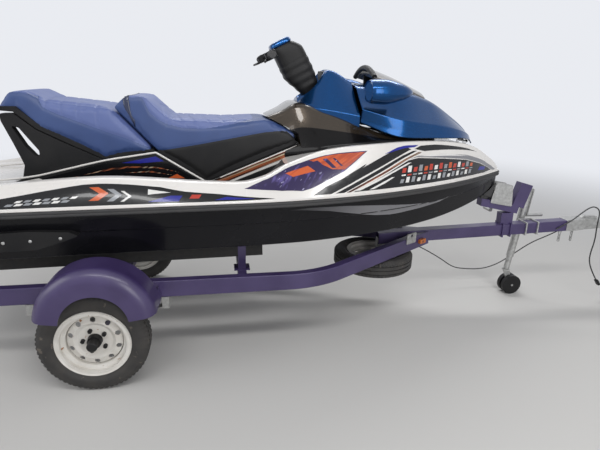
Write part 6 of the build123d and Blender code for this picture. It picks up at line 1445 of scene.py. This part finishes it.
def stack_of(middle_x, middle_y, half_x, half_y, heights):
    """Squircle rings one above the other, in the column's axes; middles and halves hold one value a ring."""
    flat = [np.broadcast_to(v, len(heights))[:, None] for v in (middle_x, middle_y, half_x, half_y, heights)]
    mx, my, hx, hy, up_column = flat
    return on_column(np.stack([mx + hx * squircle_x, my + hy * squircle_y, up_column + 0 * lap], -1))


size = ribs * np.where(np.arange(len(neck_h)) == len(neck_h) - 1, 0.86, 1)  # the last ring draws in
neck = grid("neck_cover", stack_of(centre, 0, depth / 2 * size, width / 2 * size, neck_h), [satin_black],
    "helm", around=True, caps=True, crease=40)
CAP_H, CAP_SCALE = [306, 312, 326, 334, 337], np.array([0.94, 1.0, 0.98, 0.88, 0.6])
pad = grid("cap", stack_of(-50, 0, CAP_SCALE * 66, CAP_SCALE * 72, CAP_H), [metal_blue], "helm", around=True,
    caps=True, crease=40)
neck = merged("steering_neck_cover", [neck, pad], "helm")
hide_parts("steering_neck")

# %% [markdown]
# ## Bars and grips
# The bar is a bent tube with rubber grips, a switch box and a lever on each side. A bevelled curve would make the
# bar. The grips need ribs and a flange at the end, which a tube whose radius changes along its route gives.

# %% Handlebar, switches, levers and grips
BAR_POINTS, BAR_HEIGHT, BAR_R = [(-110, 60), (-116, 140), (-150, 250), (-158, 382)], 290, 12.5
GRIP_R, GRIP_LONG, GRIP_RIBS, RIB_HIGH, FLANGE_AT, FLANGE_HIGH = 17, 123, 12, 1.1, 118, 5
SWITCH_SCALE, SWITCH_H = np.array([0.8, 1, 1, 0.8]), [266, 270, 306, 310]
bar_parts, grip_parts = [], []
for sign in (-1, 1):
    route = bent([(x, sign * y, BAR_HEIGHT) for x, y in BAR_POINTS], 40)
    bar_parts.append(tube("bar", on_column(route), BAR_R * MM, [satin_black], "helm"))
    way = (route[-1] - route[-3]) / np.linalg.norm(route[-1] - route[-3])
    along = np.concatenate([[-6, -5.9], np.linspace(-5, 118, 56), [122, 122.1]])
    # Ribs are the upper halves of a sine, and the flange a bell curve near the inner end
    grip_r = (GRIP_R + RIB_HIGH * (np.sin(along / GRIP_LONG * 2 * pi * GRIP_RIBS) > 0)
        + FLANGE_HIGH * np.exp(-((along - FLANGE_AT) / 5)**2))
    grip_r[[0, -1]] *= 0.5
    grip_parts.append(tube("grip", on_column(route[-1] - way * along[::-1, None]), grip_r[::-1] * MM, [rubber],
        "helm", sides=24))
    switch = stack_of(-148, sign * 228, 30 * SWITCH_SCALE, 19 * SWITCH_SCALE, SWITCH_H)
    bar_parts.append(grid("switch", switch, [satin_black], "helm", around=True, caps=True))
    lever = bent([(-160, sign * 226, 276), (-188, sign * 236, 274), (-196, sign * 300, 274),
        (-206, sign * 372, 274)], 24)
    bar_parts.append(tube("lever", on_column(lever), np.linspace(8, 6, len(lever)) * MM, [satin_black], "helm",
        sides=12))
bars = merged("handlebar_pair", bar_parts, "helm")
grips = merged("grip_pair", grip_parts, "helm")
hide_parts("handlebar")
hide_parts("grips")

# %% [markdown]
# ## Sponsons
# A fin is bolted to each of the hull's flanks near the stern, with four bolts. It is a thick plastic plate
# with soft edges. A side-view outline with a bevel gives that, and the bolts are short tubes whose last
# ring is smaller, as a domed head is.

# %% Fins and bolts
SPONSON = [((-2060, -112), 8), ((-1560, -96), 30), ((-1380, -108), 20), ((-1338, -128), 6), ((-1400, -150), 20),
    ((-1530, -188), 30), ((-2060, -196), 8)]
SPONSON_BOLTS = [(-1860, -150), (-1669, -146), (-1552, -143), (-1420, -136)]
sponson_parts = []
for sign in (-1, 1):
    sponson_parts.append(slab("fin", side_line(SPONSON), sign * 520, sign * 604, [satin_black],
        bevel=0.010))
    for x, z in SPONSON_BOLTS:
        heads = place([(x, sign * 603, z), (x, sign * 605, z), (x, sign * 607, z)])
        sponson_parts.append(tube("bolt", heads, np.array([0.008, 0.008, 0.006]), [zinc], sides=14))
sponsons = merged("sponson_pair", sponson_parts)
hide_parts("sponsons")

# %% [markdown]
# ## Graphics
# The graphics are printed films stuck on the mouldings. A texture would do, but its edges blur close by. So each
# film is a mesh: drawn flat as a side-view outline, cut by a net of lines so that it can bend, carried to the
# craft's side and wrapped a fraction of a millimetre over the moulding.

# %% From outlines to wrapped films
def net_of(work, span, rise):
    """Cuts flat faces along lines that stand span apart in x and rise apart in y."""
    at = np.array([vertex.co for vertex in work.verts])
    for axis, step in ((0, span), (1, rise)):
        lines = np.arange(np.ceil(at[:, axis].min() / step) * step, at[:, axis].max(), step)
        for line in lines:
            through_point, square = [0, 0, 0], [0, 0, 0]
            through_point[axis], square[axis] = line, 1
            bmesh.ops.bisect_plane(work, geom=work.verts[:] + work.edges[:] + work.faces[:], dist=1e-4,
                plane_co=through_point, plane_no=square)


FILM_LIFT, LEVEL_LIFT = 0.5, 0.35


def films(name, shapes, surface, target, span=24.0, rise=12.5):
    """Films from (material, level, outline) shapes; surface carries flat points to the port side, and the
    starboard copy is its mirror image. A level lies FILM_LIFT plus LEVEL_LIFT times its number over the
    target."""
    skins = list(dict.fromkeys(skin for skin, _, _ in shapes))
    layers = []
    for level in sorted({level for _, level, _ in shapes}):
        work = bmesh.new()
        for skin, own, outline in shapes:
            if own != level:
                continue
            corners = [work.verts.new((x, y, 0)) for x, y in outline]
            edges = [work.edges.new(pair) for pair in zip(corners, corners[1:] + corners[:1])]
            filled = bmesh.ops.triangle_fill(work, edges=edges, use_beauty=True)
            for face in filled["geom"]:
                if isinstance(face, bmesh.types.BMFace):
                    face.material_index = skins.index(skin)
                    face.normal_update()
                    if face.normal.z < 0:
                        face.normal_flip()
        net_of(work, span, rise)
        flat_mesh = bpy.data.meshes.new("flat")
        work.to_mesh(flat_mesh)
        work.free()
        flat = numbers_of(flat_mesh.vertices, "co")
        port = surface(flat[:, 0], flat[:, 1])
        both = np.concatenate([port * [1, -1, 1], port])
        faces = [list(face.vertices) for face in flat_mesh.polygons]
        faces += [[i + len(flat) for i in reversed(face)] for face in faces]
        slots = np.zeros(len(flat_mesh.polygons), np.int32)
        flat_mesh.polygons.foreach_get("material_index", slots)
        bpy.data.meshes.remove(flat_mesh)
        mesh = bpy.data.meshes.new(name)
        mesh.from_pydata(place(both), [], faces)
        mesh.polygons.foreach_set("material_index", np.concatenate([slots, slots]))
        for skin in skins:
            mesh.materials.append(skin)
        mesh.shade_smooth()
        layer = link(name, mesh)
        wrap = layer.modifiers.new("wrap", "SHRINKWRAP")
        wrap.target, wrap.wrap_method, wrap.wrap_mode = target, "NEAREST_SURFACEPOINT", "ABOVE_SURFACE"
        wrap.offset = (FILM_LIFT + LEVEL_LIFT * level) * MM
        layers.append(layer)
    whole_film = merged(name, layers)
    return whole_film

# %% [markdown]
# ## Film colours
# The films are printed vinyl under a clear layer, and a plain material would do for most. Three vary: the
# purple has pale streaks, the bronze runs from dark to gold, and the silver on the hull fades out aft. A noise
# drawn out along one direction gives streaks without any picture.

# %% Streaks
# Streaks: a noise in coordinates turned about Y by Angle and then multiplied by Along and Across, so that its
# spots are drawn out along a slant of the side view; Threshold and Softness cut it as they cut the chips
streaks, taken, given = effect("streaks", [("Angle", 0.35), ("Along", 3.0), ("Across", 60.0),
    ("Threshold", 0.5), ("Softness", 0.1)], [("Mask", "NodeSocketFloat")])
here = add(streaks, "TexCoord")
slant = add(streaks, "VectorRotate", rotation_type="Y_AXIS")
stretch_by = add(streaks, "CombineXYZ")
stretched = add(streaks, "VectorMath", operation="MULTIPLY")
drawn_out = add(streaks, "TexNoise", Scale=1.0, Detail=4.0)
upper = add(streaks, "Math", operation="ADD")
cut = add(streaks, "MapRange")
wire_up(streaks, (here, "Object", slant, "Vector"), (taken, "Angle", slant, "Angle"),
    (taken, "Along", stretch_by, "X"), (taken, "Along", stretch_by, "Y"), (taken, "Across", stretch_by, "Z"),
    (slant, 0, stretched, 0), (stretch_by, 0, stretched, 1), (stretched, 0, drawn_out, "Vector"),
    (taken, "Threshold", upper, 0), (taken, "Softness", upper, 1), (drawn_out, "Fac", cut, "Value"),
    (taken, "Threshold", cut, "From Min"), (upper, 0, cut, "From Max"), (cut, "Result", given, "Mask"))
print("effect", streaks.name)

# %% A maker for film colours
def film_of(name, color, metallic=0.0, roughness=0.22, **streak):
    """A film's material. streak may hold pale (a colour) and deep (another) with their own streak values."""
    made = material(name, color, roughness, metallic, Specular_IOR_Level=0.25, Coat_Weight=0.3, Coat_Roughness=0.05)
    tree = made.node_tree
    last = color
    for tint, numbers in streak.values():
        mask = add(tree, "Group", node_tree=streaks, **numbers)
        last = mixed(tree, mask.outputs["Mask"], last, tint)
    if streak:
        tree.links.new(last, tree.nodes["Principled BSDF"].inputs["Base Color"])
    return made

# %% The films' colours
film_black = film_of("film_black", (0.006, 0.006, 0.007))
film_white = film_of("film_white", (0.74, 0.73, 0.71))
film_grey = film_of("film_grey", (0.27, 0.28, 0.30))
film_orange = film_of("film_orange", (0.58, 0.110, 0.032),
    shade=((0.40, 0.060, 0.020), dict(Across=40.0, Angle=0.5)))
film_red = film_of("film_red", (0.46, 0.045, 0.028))
film_blue = film_of("film_blue", (0.012, 0.016, 0.250))
film_purple = film_of("film_purple", (0.026, 0.016, 0.070),
    glow=((0.105, 0.080, 0.260),
    dict(Angle=0.9, Along=9.0, Across=42.0, Threshold=0.56, Softness=0.14)),
    spark=((0.42, 0.40, 0.62),
    dict(Angle=0.7, Along=20.0, Across=75.0, Threshold=0.67, Softness=0.05)))
film_bronze = film_of("film_bronze", (0.050, 0.022, 0.018), metallic=0.35,
    warm=((0.42, 0.120, 0.050),
    dict(Angle=0.39, Along=2.2, Across=120.0, Threshold=0.45, Softness=0.12)),
    gold=((0.62, 0.50, 0.34),
    dict(Angle=0.39, Along=1.6, Across=190.0, Threshold=0.57, Softness=0.06)))

# %% Silver that fades out aft
# The mask runs from nought to one between two stations, and mixes from near black to silver
FADE_AFT, FADE_FORE = -0.34, 0.12  # metres
film_silver = film_of("film_silver", (0.20, 0.20, 0.215), metallic=0.3, roughness=0.34)
silver_tree = film_silver.node_tree
silver_at = add(silver_tree, "TexCoord")
silver_x = add(silver_tree, "SeparateXYZ")
silver_fade = add(silver_tree, "MapRange", From_Min=FADE_AFT, From_Max=FADE_FORE)
wire_up(silver_tree, (silver_at, "Object", silver_x, 0), (silver_x, "X", silver_fade, "Value"))
silver_tree.links.new(mixed(silver_tree, silver_fade.outputs["Result"], (0.014, 0.014, 0.016), (0.22, 0.22, 0.235)),
    silver_tree.nodes["Principled BSDF"].inputs["Base Color"])
print("film colours", [made.name for made in bpy.data.materials if made.name.startswith("film")])

# %% [markdown]
# ## Films on the deck's side
# Behind the knee there is a black lens with dashes and chevrons, then a white field, a purple panel, black
# slanting bands and two rows of little blocks out to the bow. They could be placed in millimetres, but each
# height is given in percent of the side, so that a film keeps its place as the side narrows.

# %% Outlines of the large films
def slanted(x, low, high, width, lean):
    """A bar between two heights: width along x, leaning forwards by lean at its top."""
    return [(x, low), (x + width, low), (x + width + lean, high), (x + lean, high)]


def chevron(x, low, high, width, point):
    """A chevron whose arms are width wide and whose middle points ahead by point."""
    middle = (low + high) / 2
    return [(x, low), (x + width, low), (x + width + point, middle), (x + width, high), (x, high),
        (x + point, middle)]


SIDE_FILMS = [
    (film_black, 0, [(-2062, 5), (-2062, 20), (-1880, 32), (-1660, 45), (-1490, 64), (-1360, 77), (-1296, 82),
        (-1229, 83), (-1100, 80), (-955, 73), (-886, 62), (-838, 55), (-672, 42), (-560, 26), (-478, 14),
        (-400, 5)]),
    (film_orange, 1, chevron(-1275, 22, 70, 42, 46)), (film_grey, 1, chevron(-1196, 18, 62, 30, 40)),
    (film_white, 1, chevron(-1134, 16, 54, 16, 34)),
    (film_white, 1, [(-1010, 62), (-905, 50), (-1010, 40)]),
    (film_blue, 1, [(-1010, 12), (-905, 36), (-850, 36), (-868, 12)]),
    (film_red, 1, slanted(-818, 22, 40, 46, 12)),
    (film_blue, 1, [(-700, 12), (-640, 27), (-500, 11)]),
    (film_purple, 0, [(-551, 69), (-500, 84), (-455, 92), (-306, 93), (-176, 92), (-50, 92), (118, 90), (48, 70),
        (-22, 51), (-115, 36), (-206, 22), (-258, 18), (-364, 27), (-460, 46)]),
    (film_orange, 1, [(-205, 90), (-60, 90), (104, 88), (44, 71), (-22, 54), (-90, 58)]),
    (film_purple, 2, slanted(-150, 60, 84, 34, -46)), (film_purple, 2, slanted(-88, 60, 84, 22, -46)),
    (film_purple, 2, slanted(-40, 62, 82, 12, -40)), (film_orange, 1, slanted(-300, 60, 78, 120, -36)),
    (film_black, 0, [(-31, 33), (30, 43), (94, 57), (104, 62), (84, 58), (-24, 38)]),
    (film_black, 0, [(-206, 5), (-135, 21), (-25, 37), (88, 55), (206, 75), (300, 90), (352, 92), (388, 86),
        (310, 73), (183, 52), (90, 37), (0, 22), (-108, 5)]),
    (film_black, 0, [(-84, 5), (16, 21), (108, 36), (198, 51), (323, 72), (398, 82), (430, 82), (332, 67),
        (208, 45), (34, 16), (-36, 5)]),
    (film_bronze, 0, [(-24, 5), (46, 16), (216, 43), (340, 65), (440, 79), (460, 77), (356, 63), (232, 41),
        (62, 14), (0, 5)]),
    (film_black, 0, [(16, 5), (78, 14), (238, 39), (362, 61), (430, 65), (600, 60), (820, 54), (960, 44),
        (1040, 30), (1080, 14), (1000, 5), (600, 5)]),
    (film_silver, 0, [(372, 64), (430, 70), (600, 71), (829, 69), (1012, 60), (1090, 44), (1130, 22), (1128, 8),
        (1086, 14), (1046, 31), (964, 46), (820, 56), (600, 62), (430, 67)]),
    (film_white, 1, [(30, 7), (150, 25), (262, 41), (360, 56), (384, 56), (280, 40), (166, 22), (56, 7)]),
    (film_white, 1, [(110, 7), (190, 19), (252, 28), (270, 28), (208, 17), (136, 7)]),
    (film_white, 1, [(440, 69), (520, 71), (700, 70), (840, 66), (700, 66), (520, 67)]),
    (film_black, 0, [(410, 86), (455, 93), (560, 95), (760, 92), (940, 88), (820, 84), (640, 82), (480, 80)]),
    (film_blue, 1, [(214, 79), (300, 92), (352, 95), (440, 95), (410, 90), (342, 89)]),
    (film_blue, 1, slanted(930, 18, 32, 66, 20)),
]

# %% Rows of little blocks, and the films
# Two rows of small slanting blocks, with a thin row of dashes between them
ROW_COLORS = [film_red, film_white, film_red, film_grey, film_orange]
GREY_WHITE, DASH_COLORS = (film_grey, film_white), (film_white, film_red, film_grey)
for i in range(15):
    x = 316 + 38 * i
    SIDE_FILMS.append((ROW_COLORS[i % 5], 1, slanted(x, 35, 49 if i % 2 else 45, 24, 9)))
    SIDE_FILMS.append((GREY_WHITE[i % 2], 1, slanted(x - 16, 13, 25 if i % 3 else 21, 22, 9)))
    SIDE_FILMS.append((DASH_COLORS[i % 3], 1, slanted(x - 4, 28, 31, 28, 3)))
for i in range(7):
    SIDE_FILMS.append((GREY_WHITE[i % 2], 1, slanted(-1640 + 40 * i, 14 + i, 22 + i, 30, 14)))
    SIDE_FILMS.append((GREY_WHITE[1 - i % 2], 1, slanted(-1600 + 40 * i, 26 + i, 34 + i, 26, 14)))
side_films = films("side_graphics", SIDE_FILMS, lambda x, share: deck_side(x, share / 100), deck)

# %% [markdown]
# ## Films on the pedestal and the hull
# The strip under the front seat's edge is bronze on white, and the hull has one long silver flash. The pedestal's
# sides are flat, so its outlines are plain (x, z). On the hull they hold percent of the way from the crease to
# the bumper, which keeps the flash along the crease.

# %% Films on the pedestal
PEDESTAL_FILMS = [
    (gel_white, 0, [(-1694, 10), (-1680, 68), (-1600, 82), (-1586, 76), (-1545, 12)]),
    (film_black, 0, [(-1586, 78), (-1265, 155), (-1004, 188), (-768, 34), (-774, 10), (-1545, 12)]),
    (film_bronze, 1, [(-1385, 92), (-1250, 124), (-1140, 134), (-1000, 126), (-880, 92), (-1000, 119),
        (-1140, 125), (-1255, 113)]),
    (film_bronze, 1, [(-1180, 98), (-1040, 106), (-900, 74), (-1040, 98)]),
    (film_orange, 1, [(-1505, 40), (-1470, 72), (-1410, 86), (-1450, 46)]),
    (film_orange, 1, [(-950, 62), (-900, 84), (-860, 60)]),
    (film_blue, 1, [(-1180, 152), (-1004, 183), (-964, 156), (-1090, 148)]),
    (gel_white, 0, [(-734, 36), (-236, 229), (-236, 184), (-282, 150), (-645, 16), (-728, 24)]),
    (film_bronze, 1, [(-716, 37), (-240, 221), (-240, 196), (-290, 163), (-652, 25), (-710, 29)]),
]


def pedestal_side(x, z):
    """The pedestal's flat port side."""
    return np.stack([x, np.full_like(x, PEDESTAL_HALF), z], -1)


pedestal_films = films("pedestal_graphics", PEDESTAL_FILMS, pedestal_side, pedestal, 60.0, 60.0)

# %% Films on the hull
def hull_flank(x, share):
    """The hull's port flank: share in percent runs from the crease up to the bumper, and below nought down
    to the chine."""
    rows, share = hull_rows(x), share[:, None] / 100
    above = rows[:, 7] + (rows[:, 8] - rows[:, 7]) * share
    below = rows[:, 6] + (rows[:, 6] - rows[:, 5]) * share
    return np.concatenate([x[:, None], np.where(share > 0, above, below)], -1)


HULL_FILMS = [(film_silver, 0, [(-330, 64), (-220, 70), (-25, 63), (120, 50), (254, 34), (420, 13), (560, -2),
    (650, 3), (700, 9), (620, -8), (500, -15), (331, -20), (267, -20), (170, -12),
    (73, 2), (-20, 22), (-106, 41), (-240, 58)])]
hull_films = films("hull_graphics", HULL_FILMS, hull_flank, hull, 24.0, 6.0)
